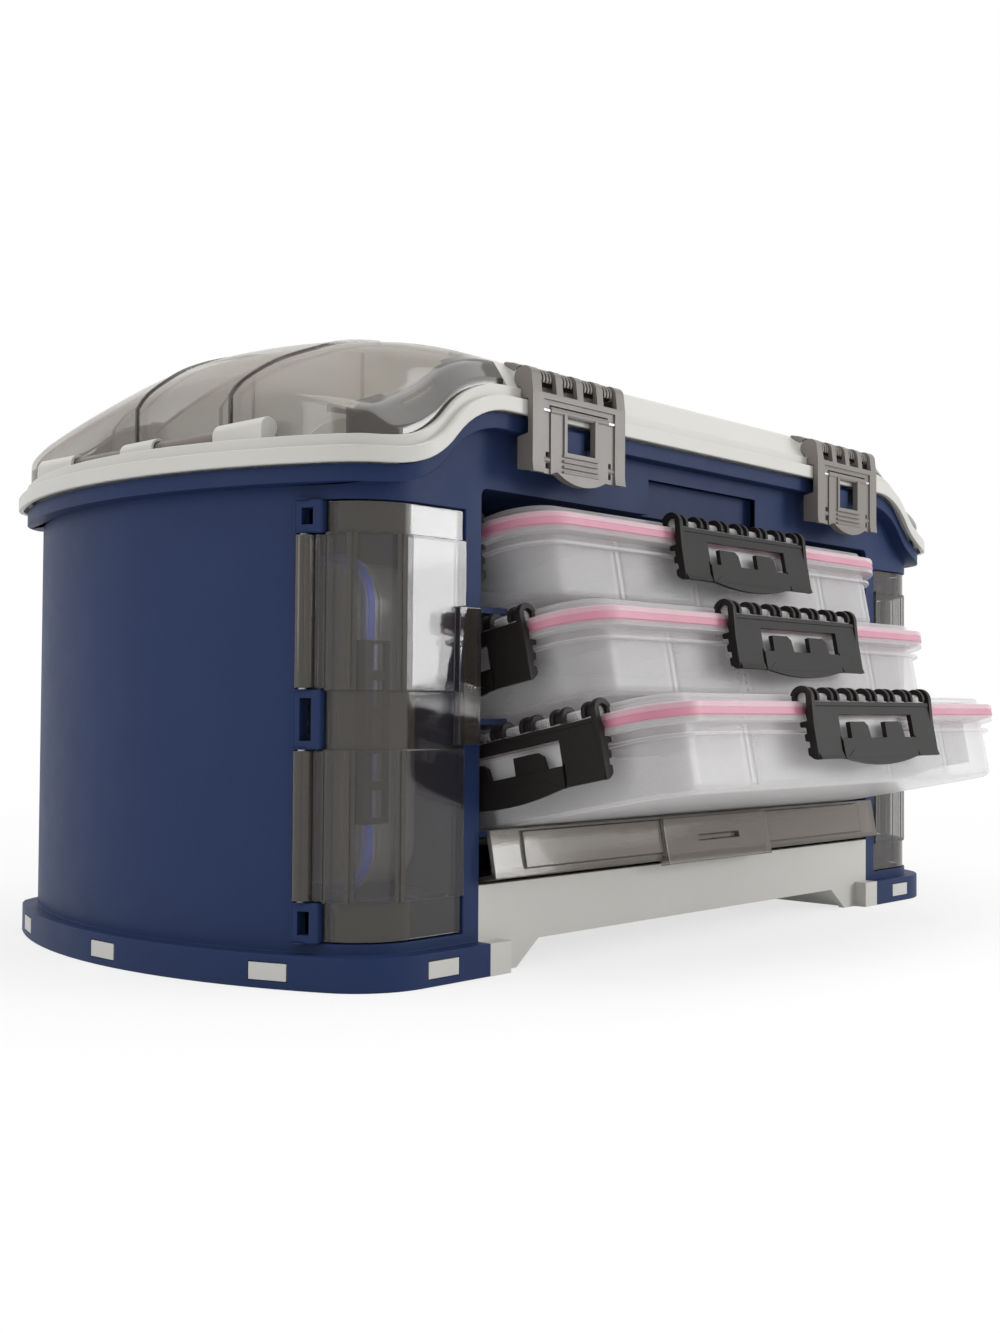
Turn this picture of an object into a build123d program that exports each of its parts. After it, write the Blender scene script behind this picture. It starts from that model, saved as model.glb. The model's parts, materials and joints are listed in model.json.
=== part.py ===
from build123d import *
import os
from math import asin, cos, degrees, radians, sin, sqrt

os.makedirs("parts", exist_ok=True)

# Case: X runs along it, Y from its front to its back, Z up from the floor.
# Depths in this list are measured back from the plane of the case's front wall.
case_half_width = 298
case_depth = 300
end_radius = 290
corner_radius = 35
case_wall = 3.5
fit_gap = 0.3
cut_depth = 60
cut_width = 200

# Parting curve between case and lid, level in the middle and lower at both ends.
rim_high = 277
rim_low = 243
rim_bend_start = 184
rim_bend_end = 258

foot_overhang = 8.5
foot_height = 16
collar_stand = 9
collar_height = 8

# Front opening, posts and the recess for the cover's catch.
opening_half_width = 190
opening_top = 240
post_width = 11
recess_half_width = 54
recess_height = 20
recess_depth = 1.8

# Base pan: floor, front strip and finger arch below it.
pan_thickness = 2.5
pan_underside = 1
strip_bottom = 13.3
strip_top = 43.5
strip_thickness = 4
arch_depth = 95
arch_half_top = 145
arch_half_foot = 162
arch_lip = 6
pan_foot_width = 15
tab_length = 20
tab_height = 8
tab_underside = 4
front_tab_x = 222
end_tab_angle = 21

# Angled trays.
tray_tilt = 11.3
tray_half_length = 174
tray_depth = 230
tray_corner = 25
tray_wall = 2.2
tray_draft = 2
tray_pitch = 54.7
tray_side_height = 36.5
tray_flange = 5
tray_flange_thickness = 3.5
gasket_height = 3.2
lid_flange_thickness = 3.2
lid_overhang = 6
lid_panel_height = 48
lid_panel_inset = 2
partition_thickness = 1.8
divider_thickness = 1.4
divider_drop = 2
divider_count = 4
tray_stow_depth = -5.6
lowest_tray_height = 72
tray_travel = 150
tray_pulled_out = {"top": 20, "middle": 55.5, "bottom": 103.7}

# Latch of a tray: a plate that hangs from loops around a rod on the lid.
tray_latch_half_width = 64.4
tray_latch_bottom = 12
tray_latch_stand = 12.3
tray_latch_thickness = 2.6
tray_latch_lip = 1.2
tray_rod_stand = 6.5
tray_rod_height = 44.3
tray_rod_radius = 2.8
tray_loop_radius = 5.8
tray_loop_count = 7
tray_loop_width = 11
side_latch_center = 93
latch_window_half = 38
latch_window_height = 13
window_center_z = 28
tooth_x = 17
tooth_width = 18

# Racks that carry the trays, and the shelf of each end bay.
rack_thickness = 3
ledge_width = 24.5
ledge_thickness = 3
ledge_front = 10
shelf_height = 39.7
deck_thickness = 3

# Front cover, stowed under the lowest tray and parallel to it.
cover_half_width = 188
cover_length = 192
cover_thickness = 2.5
cover_front_depth = -9.8
cover_front_height = 47
cover_flange_height = 24.5
cover_tab_half_width = 52
cover_panel_width = 124
cover_panel_x = 104
cover_panel_rise = 1.6
cover_panel_low = 4
cover_panel_margin = 2
cover_tab_rise = 4
cover_tab_drop = 3
cover_slot_width = 40
cover_slot_height = 3
cover_slot_low = 9

# Side doors that wrap round the front corners.
door_low = 21
door_high = 228
door_gap = 0.6
door_thickness = 3
door_panel_rise = 1.2
door_raised = ((39.8, 111), (138.6, 212.6))
door_lugs = ((21, 40), (111, 139), (212, 228))
door_knuckles = ((40.6, 110.4), (139.6, 211.4))
door_hinge_depth = 34
door_hinge_stand = 1.5
door_barrel_radius = 4.2
door_pin_radius = 2
door_tab_low = 113
door_tab_high = 180
door_tab_stand = 3
door_tab_width = 14
door_tab_lap = 6
door_web_reach = 10
door_web_inset = 2.6

# End boxes that stand behind the side doors.
side_box_inner_x = 206
side_box_thickness = 44
side_box_length = 230
side_box_height = 166
side_box_front = 24
side_box_corner = 25
side_box_wall = 2
side_box_lid_thickness = 8
side_gasket_thickness = 2.4
side_flange_thickness = 3
side_rim = 3
side_latch_thickness = 2.6
side_latch_low = 75
side_latch_high = 163

# Lid: rim, centre spine and arch.
lid_stand = 14
lid_rim_height = 14
lid_lip_height = 8
lid_band_stand = 9.5
lid_wall = 3
lid_gap = 0.4
lid_inner_ledge = 20
spine_half_width = 180
spine_shoulder_height = 28
spine_apex_height = 57
spine_front_stand = 8
spine_shoulder_depth = 2
latch_rib_shifts = (-34.5, -18, 0, 18, 34.5)
latch_rib_width = 4

# Domed windows, hinged at the ends of the lid.
window_thickness = 2.5
window_end_x = 278.5
dome_corner_width = 30
dome_corner_length = 50
dome_stations = (-5, 0, 6, 14, 26, 42, 62, 86, 115, 150)
dome_crown = ((0, 0), (0.25, 4), (0.5, 11), (0.7, 19.4), (0.85, 29.4), (0.95, 38), (1, 45))
window_hinge_x = 284
window_hinge_height = 263
window_rod_radius = 3
window_knuckle_radius = 5
window_knuckles = ((49, 87), (139, 168), (215, 250))

# Bins under the windows.
bin_inner_x = 184
bin_wall = 2
bin_floor = 246
bin_dividers = (100, 196)

# Rear hinge of the lid.
hinge_back = 21
hinge_height = 279
hinge_radius = 6
hinge_pin_radius = 2.5
hinge_centers = (-120, 120)
hinge_knuckle_width = 30
hinge_lug_width = 16

# Carry handle, folded flush into the spine.
handle_pivot_depth = 124
handle_reach = 52
handle_half_width = 118
handle_thickness = 11
handle_arm_width = 10
handle_grip_width = 16
handle_height = 323.4
handle_pocket_floor = 317
handle_pocket_gap = 4
handle_pin_radius = 3
handle_pocket_room = 60

# Front latches of the case.
latch_center = 135
latch_half_width = 37
latch_bottom = 250
latch_stand = 17.5
latch_thickness = 2.8
latch_brow = 291
latch_lean = 2.6
latch_axis_stand = 10.3
latch_axis_height = 297.3
latch_loop_radius = 5.2
latch_rod_radius = 2.6
latch_loops = (-27, -9, 9, 27)
latch_loop_width = 9
lever_half_width = 23
lever_top = 284
lever_bottom = 246.5
lever_axis_height = 281
lever_pin_radius = 1.4
lever_gap = 0.6
lever_lip = 1.5
lever_window_width = 22
lever_window_height = 16
lever_window_center = 270
lever_ribs = (251, 255, 259)
lever_rib_height = 1.6
striker_half_width = 9
striker_depth = 10
striker_height = 7

# Where the front wall stands, so that the origin is in the middle of the whole outline.
tilt = radians(tray_tilt)
front_reach = (
    tray_pulled_out["bottom"] * cos(tilt)
    - tray_stow_depth
    + (tray_latch_stand + tray_latch_lip) * cos(tilt)
    - tray_latch_bottom * sin(tilt)
)
back_reach = case_depth + hinge_back + hinge_radius
front_y = (front_reach - back_reach) / 2
middle_y = front_y + case_depth / 2
back_y = front_y + case_depth
end_center_x = case_half_width - end_radius
far = 500


def plan_face(grow):
    """Plan outline of the case, moved outwards by grow."""
    half_depth = case_depth / 2 + grow
    radius = end_radius + grow
    corner_x = end_center_x + sqrt(radius**2 - half_depth**2)
    with BuildSketch() as face:
        with BuildLine():
            front = Line((-corner_x, middle_y - half_depth), (corner_x, middle_y - half_depth))
            back = Line((corner_x, middle_y + half_depth), (-corner_x, middle_y + half_depth))
            ThreePointArc(front @ 1, (end_center_x + radius, middle_y), back @ 0)
            ThreePointArc(back @ 1, (-end_center_x - radius, middle_y), front @ 0)
        make_face()
        fillet(face.vertices(), corner_radius + grow)
    return face.sketch


def under_curve(rise):
    """Everything below the parting curve, moved up by rise."""
    low = rim_low + rise
    high = rim_high + rise
    knee_x = (rim_bend_start + rim_bend_end) / 2
    knee_z = (low + high) / 2
    with BuildPart() as lump:
        with BuildSketch(Plane.XZ):
            with BuildLine():
                corners = [(far, low), (far, -far), (-far, -far), (-far, low)]
                Polyline((rim_bend_end, low), *corners, (-rim_bend_end, low))
                TangentArc((-rim_bend_end, low), (-knee_x, knee_z), tangent=(1, 0))
                TangentArc((-rim_bend_start, high), (-knee_x, knee_z), tangent=(-1, 0))
                Line((-rim_bend_start, high), (rim_bend_start, high))
                TangentArc((rim_bend_start, high), (knee_x, knee_z), tangent=(1, 0))
                TangentArc((rim_bend_end, low), (knee_x, knee_z), tangent=(-1, 0))
            make_face()
        extrude(amount=far, both=True)
    return lump.part


def curve_height(x):
    """Height of the parting curve at x."""
    half_run = (rim_bend_end - rim_bend_start) / 2
    half_drop = (rim_high - rim_low) / 2
    radius = (half_run**2 + half_drop**2) / (2 * half_drop)
    if x <= rim_bend_start:
        return rim_high
    if x <= rim_bend_start + half_run:
        return rim_high - radius + sqrt(radius**2 - (x - rim_bend_start) ** 2)
    if x <= rim_bend_end:
        return rim_low + radius - sqrt(radius**2 - (rim_bend_end - x) ** 2)
    return rim_low


def plan_ring(outer, inner, low_rise, high_rise):
    """Band between two plan outlines and two heights of the parting curve."""
    above = under_curve(high_rise)
    below = under_curve(low_rise)
    outer_face = plan_face(outer)
    inner_face = plan_face(inner)
    with BuildPart() as band:
        with BuildSketch():
            add(outer_face)
            add(inner_face, mode=Mode.SUBTRACT)
        extrude(amount=far)
        add(above, mode=Mode.INTERSECT)
        add(below, mode=Mode.SUBTRACT)
    return band.part


def tray_plane(depth, height):
    """Plane of a tray: X along the case, Y in and down along the slide, Z square to the tray."""
    return Plane(origin=(0, front_y + depth, height), x_dir=(1, 0, 0), z_dir=(0, sin(tilt), cos(tilt)))


def shift_plane(plane, x, y, z, turn=0):
    """The plane moved by local x, y, z and turned about its own Z."""
    return Plane(plane.location * Location((x, y, z), (0, 0, turn)))


door_hinge_angle = asin((door_hinge_depth - case_depth / 2) / end_radius)
door_axis_x = end_center_x + (end_radius + door_hinge_stand) * cos(door_hinge_angle)
door_axis_y = middle_y + (end_radius + door_hinge_stand) * sin(door_hinge_angle)
knuckle_room = 3.5
notch_depth = door_barrel_radius + 1


# Body shell
collar = plan_ring(collar_stand, -case_wall, -collar_height, 0)
outer_plan = plan_face(0)
inner_plan = plan_face(-case_wall)
foot_plan = plan_face(foot_overhang)
below_rim = under_curve(0)
tab_spots = []
for x in (-front_tab_x, front_tab_x):
    tab_spots.append(Location((x, front_y, 0), (0, 0, -90)))
    tab_spots.append(Location((x, back_y, 0), (0, 0, 90)))
for angle in (-end_tab_angle, 0, end_tab_angle):
    reach_x = end_center_x + end_radius * cos(radians(angle))
    reach_y = end_radius * sin(radians(angle))
    tab_spots.append(Location((reach_x, middle_y + reach_y, 0), (0, 0, angle)))
    tab_spots.append(Location((-reach_x, middle_y + reach_y, 0), (0, 0, 180 - angle)))
tab_slot_depth = 2 * (foot_overhang + case_wall) + 0.2

with BuildPart() as body_shell:
    with BuildSketch():
        add(outer_plan)
    extrude(amount=far)
    add(below_rim, mode=Mode.INTERSECT)
    add(collar)
    with BuildSketch():
        add(foot_plan)
    extrude(amount=foot_height)
    with BuildSketch():
        add(inner_plan)
    extrude(amount=far, mode=Mode.SUBTRACT)
    with Locations((0, front_y, opening_top / 2)):
        Box(2 * opening_half_width, cut_depth, opening_top, mode=Mode.SUBTRACT)
    door_center_z = (door_low + door_high) / 2
    with Locations(
        (opening_half_width + post_width + cut_width / 2, front_y, door_center_z),
        (-opening_half_width - post_width - cut_width / 2, front_y, door_center_z),
    ):
        Box(cut_width, 2 * (door_hinge_depth - knuckle_room), door_high - door_low, mode=Mode.SUBTRACT)
    with Locations((0, front_y, opening_top + recess_height / 2)):
        Box(2 * recess_half_width, 2 * recess_depth, recess_height, mode=Mode.SUBTRACT)
    for low, high in door_lugs:
        with BuildSketch(Plane.XY.offset(low)):
            with Locations((door_axis_x, door_axis_y), (-door_axis_x, door_axis_y)):
                Circle(door_barrel_radius)
        extrude(amount=high - low)
    for low, high in door_knuckles:
        with Locations(
            (door_axis_x, door_axis_y, (low + high) / 2), (-door_axis_x, door_axis_y, (low + high) / 2)
        ):
            Box(3 * door_barrel_radius, 2 * notch_depth, high - low + 2 * door_gap, mode=Mode.SUBTRACT)
    with Locations((door_axis_x, door_axis_y, door_center_z), (-door_axis_x, door_axis_y, door_center_z)):
        Cylinder(door_pin_radius, door_high - door_low, mode=Mode.SUBTRACT)
    for spot in tab_spots:
        with Locations(spot * Location((0, 0, tab_underside + tab_height / 2))):
            Box(tab_slot_depth, tab_length + 2 * fit_gap, tab_height + 2 * fit_gap, mode=Mode.SUBTRACT)
    for center in hinge_centers:
        lug_x = hinge_knuckle_width / 2 + fit_gap + hinge_lug_width / 2
        for side in (-1, 1):
            with BuildSketch(Plane.YZ.offset(center + side * lug_x - hinge_lug_width / 2)):
                with Locations((back_y + hinge_back, hinge_height)):
                    Circle(hinge_radius)
                with BuildLine():
                    Polyline(
                        (back_y, rim_high - collar_height),
                        (back_y, rim_high - 0.5),
                        (back_y + hinge_back, rim_high - 0.5),
                        (back_y + hinge_back + hinge_radius * 0.6, hinge_height - hinge_radius * 0.8),
                        (back_y + collar_stand, rim_high - 3 * collar_height),
                        (back_y, rim_high - 3 * collar_height),
                        close=True,
                    )
                make_face()
            extrude(amount=hinge_lug_width)
            with Locations((center + side * lug_x, back_y + hinge_back, hinge_height)):
                Cylinder(hinge_pin_radius, hinge_lug_width, rotation=(0, 90, 0), mode=Mode.SUBTRACT)
    for side in (-1, 1):
        striker_z = rim_high - collar_height - (striker_height - 1) / 2
        with Locations((side * latch_center, front_y - 3, striker_z)):
            Box(2 * striker_half_width, striker_depth, striker_height)
body_shell.part.label = "body_shell"
export_step(body_shell.part, "parts/body_shell.step")


# Base pan
tab_reach_in = case_wall + 2.5
pan_plan = plan_face(-case_wall - fit_gap)
pan_top = pan_underside + pan_thickness
with BuildPart() as base_pan:
    with BuildSketch(Plane.XY.offset(pan_underside)):
        add(pan_plan)
    extrude(amount=pan_thickness)
    with Locations((0, front_y + arch_depth - cut_width / 2, 0)):
        Box(2 * arch_half_foot, cut_width, 2 * strip_bottom, mode=Mode.SUBTRACT)
    with BuildSketch(Plane.XZ.offset(-front_y - strip_thickness)):
        with BuildLine():
            Polyline(
                (-opening_half_width, 0),
                (-opening_half_width, strip_top),
                (opening_half_width, strip_top),
                (opening_half_width, 0),
                (arch_half_foot, 0),
                (arch_half_top, strip_bottom),
                (-arch_half_top, strip_bottom),
                (-arch_half_foot, 0),
                close=True,
            )
        make_face()
    extrude(amount=strip_thickness)
    with BuildSketch(Plane.XZ.offset(-front_y - arch_depth)):
        with BuildLine():
            Polyline(
                (-arch_half_foot - arch_lip, pan_underside),
                (-arch_half_foot, pan_underside),
                (-arch_half_top, strip_bottom),
                (arch_half_top, strip_bottom),
                (arch_half_foot, pan_underside),
                (arch_half_foot + arch_lip, pan_underside),
                (arch_half_foot + arch_lip, pan_top),
                (arch_half_foot + 1, pan_top),
                (arch_half_top + 1, strip_bottom + pan_thickness),
                (-arch_half_top - 1, strip_bottom + pan_thickness),
                (-arch_half_foot - 1, pan_top),
                (-arch_half_foot - arch_lip, pan_top),
                close=True,
            )
        make_face()
    extrude(amount=arch_depth - 0.5)
    with Locations((0, front_y + arch_depth, (pan_underside + strip_bottom + pan_thickness) / 2)):
        Box(2 * arch_half_foot, pan_thickness, strip_bottom + pan_thickness - pan_underside)
    foot_x = opening_half_width - pan_foot_width / 2
    with Locations((-foot_x, front_y - foot_overhang / 2 + 1, foot_height / 2)):
        Box(pan_foot_width, foot_overhang + 2, foot_height)
    with Locations((foot_x, front_y - foot_overhang / 2 + 1, foot_height / 2)):
        Box(pan_foot_width, foot_overhang + 2, foot_height)
    for spot in tab_spots:
        tab_middle = (foot_overhang - tab_reach_in) / 2
        with Locations(spot * Location((tab_middle, 0, tab_underside + tab_height / 2))):
            Box(foot_overhang + tab_reach_in, tab_length, tab_height)
        with Locations(spot * Location((-tab_reach_in, 0, (pan_underside + tab_underside + tab_height) / 2))):
            Box(pan_thickness, tab_length, tab_underside + tab_height - pan_underside)
base_pan.part.label = "base_pan"
export_step(base_pan.part, "parts/base_pan.step")


# Racks: a partition with slanted ledges, cover rails and the shelf of the end bay
tray_heights = {}
for count, level in enumerate(("bottom", "middle", "top")):
    tray_heights[level] = lowest_tray_height + count * tray_pitch / cos(tilt)
rack_inner_x = opening_half_width + 0.5
rack_outer_x = rack_inner_x + rack_thickness
ledge_inner_x = rack_inner_x - ledge_width
shelf_plan = plan_face(-case_wall - 2 * fit_gap)
cover_plane = tray_plane(cover_front_depth, cover_front_height)

with BuildPart() as rack_right:
    rack_length = case_depth - 10
    with Locations(((rack_inner_x + rack_outer_x) / 2, middle_y, (pan_top + opening_top) / 2)):
        Box(rack_thickness, rack_length, opening_top - pan_top)
    for level, height in tray_heights.items():
        plane = tray_plane(tray_stow_depth, height)
        with BuildSketch(plane.offset(-fit_gap)):
            with Locations(((ledge_inner_x + rack_inner_x) / 2, (ledge_front + tray_depth) / 2)):
                Rectangle(ledge_width, tray_depth - ledge_front)
        extrude(amount=-ledge_thickness)
    with BuildSketch(cover_plane.offset(-fit_gap)):
        with Locations((rack_inner_x - ledge_width / 4, (2 * ledge_front + cover_length) / 2)):
            Rectangle(ledge_width / 2, cover_length - 2 * ledge_front)
    extrude(amount=-ledge_thickness)
    with BuildSketch(Plane.XY.offset(shelf_height - ledge_thickness)):
        add(shelf_plan)
        shelf_front = front_y + side_box_front - 4
        with Locations(((rack_outer_x - far) / 2, middle_y)):
            Rectangle(far + rack_outer_x, 2 * far, mode=Mode.SUBTRACT)
        with Locations((0, shelf_front - far / 2)):
            Rectangle(2 * far, far, mode=Mode.SUBTRACT)
    extrude(amount=ledge_thickness)
rack_right.part.label = "rack_right"
export_step(rack_right.part, "parts/rack_right.step")

with BuildPart() as rack_left:
    mirror(rack_right.part, about=Plane.YZ)
rack_left.part.label = "rack_left"
export_step(rack_left.part, "parts/rack_left.step")


# Top deck over the trays
deck_plan = plan_face(-case_wall - fit_gap)
with BuildPart() as top_deck:
    with BuildSketch(Plane.XY.offset(opening_top)):
        add(deck_plan)
    extrude(amount=deck_thickness)
top_deck.part.label = "top_deck"
export_step(top_deck.part, "parts/top_deck.step")


# Front cover
with BuildPart() as front_cover:
    with BuildSketch(cover_plane):
        with Locations((0, cover_length / 2)):
            Rectangle(2 * cover_half_width, cover_length)
    extrude(amount=cover_thickness)
    with BuildSketch(cover_plane):
        with Locations((0, cover_thickness / 2)):
            Rectangle(2 * cover_half_width, cover_thickness)
    extrude(amount=cover_flange_height)
    with BuildSketch(cover_plane.offset(cover_panel_low)):
        with Locations((-cover_panel_x, 0), (cover_panel_x, 0)):
            Rectangle(cover_panel_width, 2 * cover_panel_rise)
    extrude(amount=cover_flange_height - cover_panel_low - cover_panel_margin)
    with BuildSketch(cover_plane.offset(-cover_tab_drop)):
        with Locations((0, -1)):
            Rectangle(2 * cover_tab_half_width, 2 * (cover_tab_rise - 1))
    extrude(amount=cover_flange_height + cover_tab_drop - 2)
    with BuildSketch(cover_plane.offset(cover_slot_low)):
        with Locations((0, -cover_tab_rise + 1)):
            Rectangle(cover_slot_width, cover_tab_rise)
    extrude(amount=cover_slot_height, mode=Mode.SUBTRACT)
front_cover.part.label = "front_cover"
export_step(front_cover.part, "parts/front_cover.step")


# Side doors and their hinge pins
door_outer_plan = plan_face(0)
door_panel_plan = plan_face(-door_panel_rise)
door_inner_plan = plan_face(-door_thickness)
door_edge_x = opening_half_width + post_width + door_gap
door_back_y = front_y + door_hinge_depth - knuckle_room - door_gap
web_half = door_web_reach / 2
web_center_x = door_axis_x - door_web_inset * cos(door_hinge_angle) + web_half * sin(door_hinge_angle)
web_center_y = door_axis_y - door_web_inset * sin(door_hinge_angle) - web_half * cos(door_hinge_angle)


def door_band(outer, low, high):
    """One height band of a side door, between its outer face and its inner face."""
    with BuildPart() as band:
        with BuildSketch(Plane.XY.offset(low)):
            add(outer)
            add(door_inner_plan, mode=Mode.SUBTRACT)
            with Locations(((door_edge_x + far) / 2, (door_back_y + front_y - 20) / 2)):
                Rectangle(far - door_edge_x, door_back_y - front_y + 20, mode=Mode.INTERSECT)
        extrude(amount=high - low)
    return band.part


door_bottom = door_low + door_gap
door_top = door_high - door_gap
door_plate = door_band(door_panel_plan, door_bottom, door_top)
door_panels = [door_band(door_outer_plan, low, high) for low, high in door_raised]
with BuildPart() as side_door_right:
    add(door_plate)
    for panel in door_panels:
        add(panel)
    for low, high in door_knuckles:
        with BuildSketch(Plane.XY.offset(low)):
            with Locations((door_axis_x, door_axis_y)):
                Circle(door_barrel_radius)
            with Locations(Location((web_center_x, web_center_y, 0), (0, 0, degrees(door_hinge_angle)))):
                Rectangle(door_thickness, door_web_reach)
        extrude(amount=high - low)
    with Locations((door_axis_x, door_axis_y, door_center_z)):
        Cylinder(door_pin_radius + 0.2, far, mode=Mode.SUBTRACT)
    tab_center_z = (door_tab_low + door_tab_high) / 2
    tab_tall = door_tab_high - door_tab_low
    with Locations((door_edge_x + door_tab_lap / 2, front_y - door_tab_stand / 2, tab_center_z)):
        Box(door_tab_lap, door_tab_stand, tab_tall)
    finger_center_x = door_edge_x + door_tab_lap - door_tab_width / 2
    with Locations((finger_center_x, front_y - (door_tab_stand + fit_gap) / 2, tab_center_z)):
        Box(door_tab_width, door_tab_stand - fit_gap, tab_tall)
side_door_right.part.label = "side_door_right"
export_step(side_door_right.part, "parts/side_door_right.step")

with BuildPart() as side_door_left:
    mirror(side_door_right.part, about=Plane.YZ)
side_door_left.part.label = "side_door_left"
export_step(side_door_left.part, "parts/side_door_left.step")

for side, name in ((1, "side_door_pin_right"), (-1, "side_door_pin_left")):
    with BuildPart() as door_pin:
        with Locations((side * door_axis_x, door_axis_y, door_center_z)):
            Cylinder(door_pin_radius, door_high - door_low)
    door_pin.part.label = name
    export_step(door_pin.part, f"parts/{name}.step")


# End boxes: each stands on its long edge, lid towards the end of the case
side_box_z = shelf_height + side_box_height / 2
side_box_y = front_y + side_box_front + side_box_length / 2
side_lid_x = side_box_inner_x + side_box_thickness - side_box_lid_thickness
side_gasket_x = side_lid_x - side_gasket_thickness
side_panel_length = side_box_length - 2 * side_rim
side_panel_height = side_box_height - 2 * side_rim

with BuildPart() as side_body:
    with BuildSketch(Plane.YZ.offset(side_box_inner_x)):
        with Locations((side_box_y, side_box_z)):
            RectangleRounded(side_panel_length, side_panel_height, side_box_corner - side_rim)
    extrude(amount=side_gasket_x - side_box_inner_x)
    with BuildSketch(Plane.YZ.offset(side_gasket_x - side_flange_thickness)):
        with Locations((side_box_y, side_box_z)):
            RectangleRounded(side_box_length, side_box_height, side_box_corner)
    extrude(amount=side_flange_thickness)
    cavity_shrink = 2 * side_rim + 2 * side_box_wall
    with BuildSketch(Plane.YZ.offset(side_box_inner_x + side_box_wall)):
        with Locations((side_box_y, side_box_z)):
            RectangleRounded(
                side_box_length - cavity_shrink,
                side_box_height - cavity_shrink,
                side_box_corner - cavity_shrink / 2,
            )
    extrude(amount=side_box_thickness, mode=Mode.SUBTRACT)
with BuildPart() as side_gasket:
    with BuildSketch(Plane.YZ.offset(side_gasket_x)):
        with Locations((side_box_y, side_box_z)):
            RectangleRounded(side_box_length - 2, side_box_height - 2, side_box_corner - 1)
            RectangleRounded(
                side_box_length - 2 - 2 * side_rim,
                side_box_height - 2 - 2 * side_rim,
                side_box_corner - 1 - side_rim,
                mode=Mode.SUBTRACT,
            )
    extrude(amount=side_lid_x - side_gasket_x)
with BuildPart() as side_lid:
    with BuildSketch(Plane.YZ.offset(side_lid_x)):
        with Locations((side_box_y, side_box_z)):
            RectangleRounded(side_box_length, side_box_height, side_box_corner)
    extrude(amount=side_flange_thickness)
    with BuildSketch(Plane.YZ.offset(side_lid_x)):
        with Locations((side_box_y, side_box_z)):
            RectangleRounded(side_panel_length, side_panel_height, side_box_corner - side_rim)
    extrude(amount=side_box_lid_thickness)
    with BuildSketch(Plane.YZ.offset(side_lid_x)):
        with Locations((side_box_y, side_box_z)):
            RectangleRounded(
                side_box_length - cavity_shrink,
                side_box_height - cavity_shrink,
                side_box_corner - cavity_shrink / 2,
            )
    extrude(amount=side_box_lid_thickness - side_box_wall, mode=Mode.SUBTRACT)
with BuildPart() as side_latch:
    latch_front_y = front_y + side_box_front - side_latch_thickness - fit_gap
    latch_back_y = latch_front_y + side_latch_thickness
    hook_back_y = latch_back_y + side_latch_thickness
    near_hook_x = side_gasket_x - side_flange_thickness - fit_gap
    far_hook_x = side_lid_x + side_flange_thickness + fit_gap
    with BuildSketch(Plane.XY.offset(side_latch_low)):
        with BuildLine():
            Polyline(
                (side_box_inner_x + 1, latch_front_y),
                (far_hook_x + side_latch_thickness, latch_front_y),
                (far_hook_x + side_latch_thickness, hook_back_y),
                (far_hook_x, hook_back_y),
                (far_hook_x, latch_back_y),
                (near_hook_x, latch_back_y),
                (near_hook_x, hook_back_y),
                (near_hook_x - side_latch_thickness, hook_back_y),
                (near_hook_x - side_latch_thickness, latch_back_y),
                (side_box_inner_x + 1, latch_back_y),
                close=True,
            )
        make_face()
    extrude(amount=side_latch_high - side_latch_low)

for name, piece in (("body", side_body), ("gasket", side_gasket), ("lid", side_lid), ("latch", side_latch)):
    piece.part.label = f"side_box_right_{name}"
    export_step(piece.part, f"parts/side_box_right_{name}.step")
    with BuildPart() as twin:
        mirror(piece.part, about=Plane.YZ)
    twin.part.label = f"side_box_left_{name}"
    export_step(twin.part, f"parts/side_box_left_{name}.step")


# Trays
def tray_outline(grow):
    """Rounded outline of a tray, its front wall on the local X axis."""
    with BuildSketch() as outline:
        with Locations((0, tray_depth / 2)):
            RectangleRounded(2 * (tray_half_length + grow), tray_depth + 2 * grow, tray_corner + grow)
    return outline.sketch


def slab(plane, grow, amount, taper=0):
    """Slab on the tray outline, raised by amount."""
    outline = tray_outline(grow)
    with BuildPart() as block:
        with BuildSketch(plane):
            add(outline)
        extrude(amount=amount, taper=taper)
    return block.part


def latch_rod(plane):
    """Rod on the lid that the loops of a latch turn on; the plane's X runs along the latch."""
    axis = shift_plane(plane, 0, -tray_rod_stand, tray_rod_height)
    with BuildPart() as rod:
        with BuildSketch(Plane(origin=axis.origin, x_dir=axis.y_dir, z_dir=axis.x_dir)):
            Circle(tray_rod_radius)
        extrude(amount=tray_latch_half_width - 2, both=True)
    return rod.part


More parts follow.
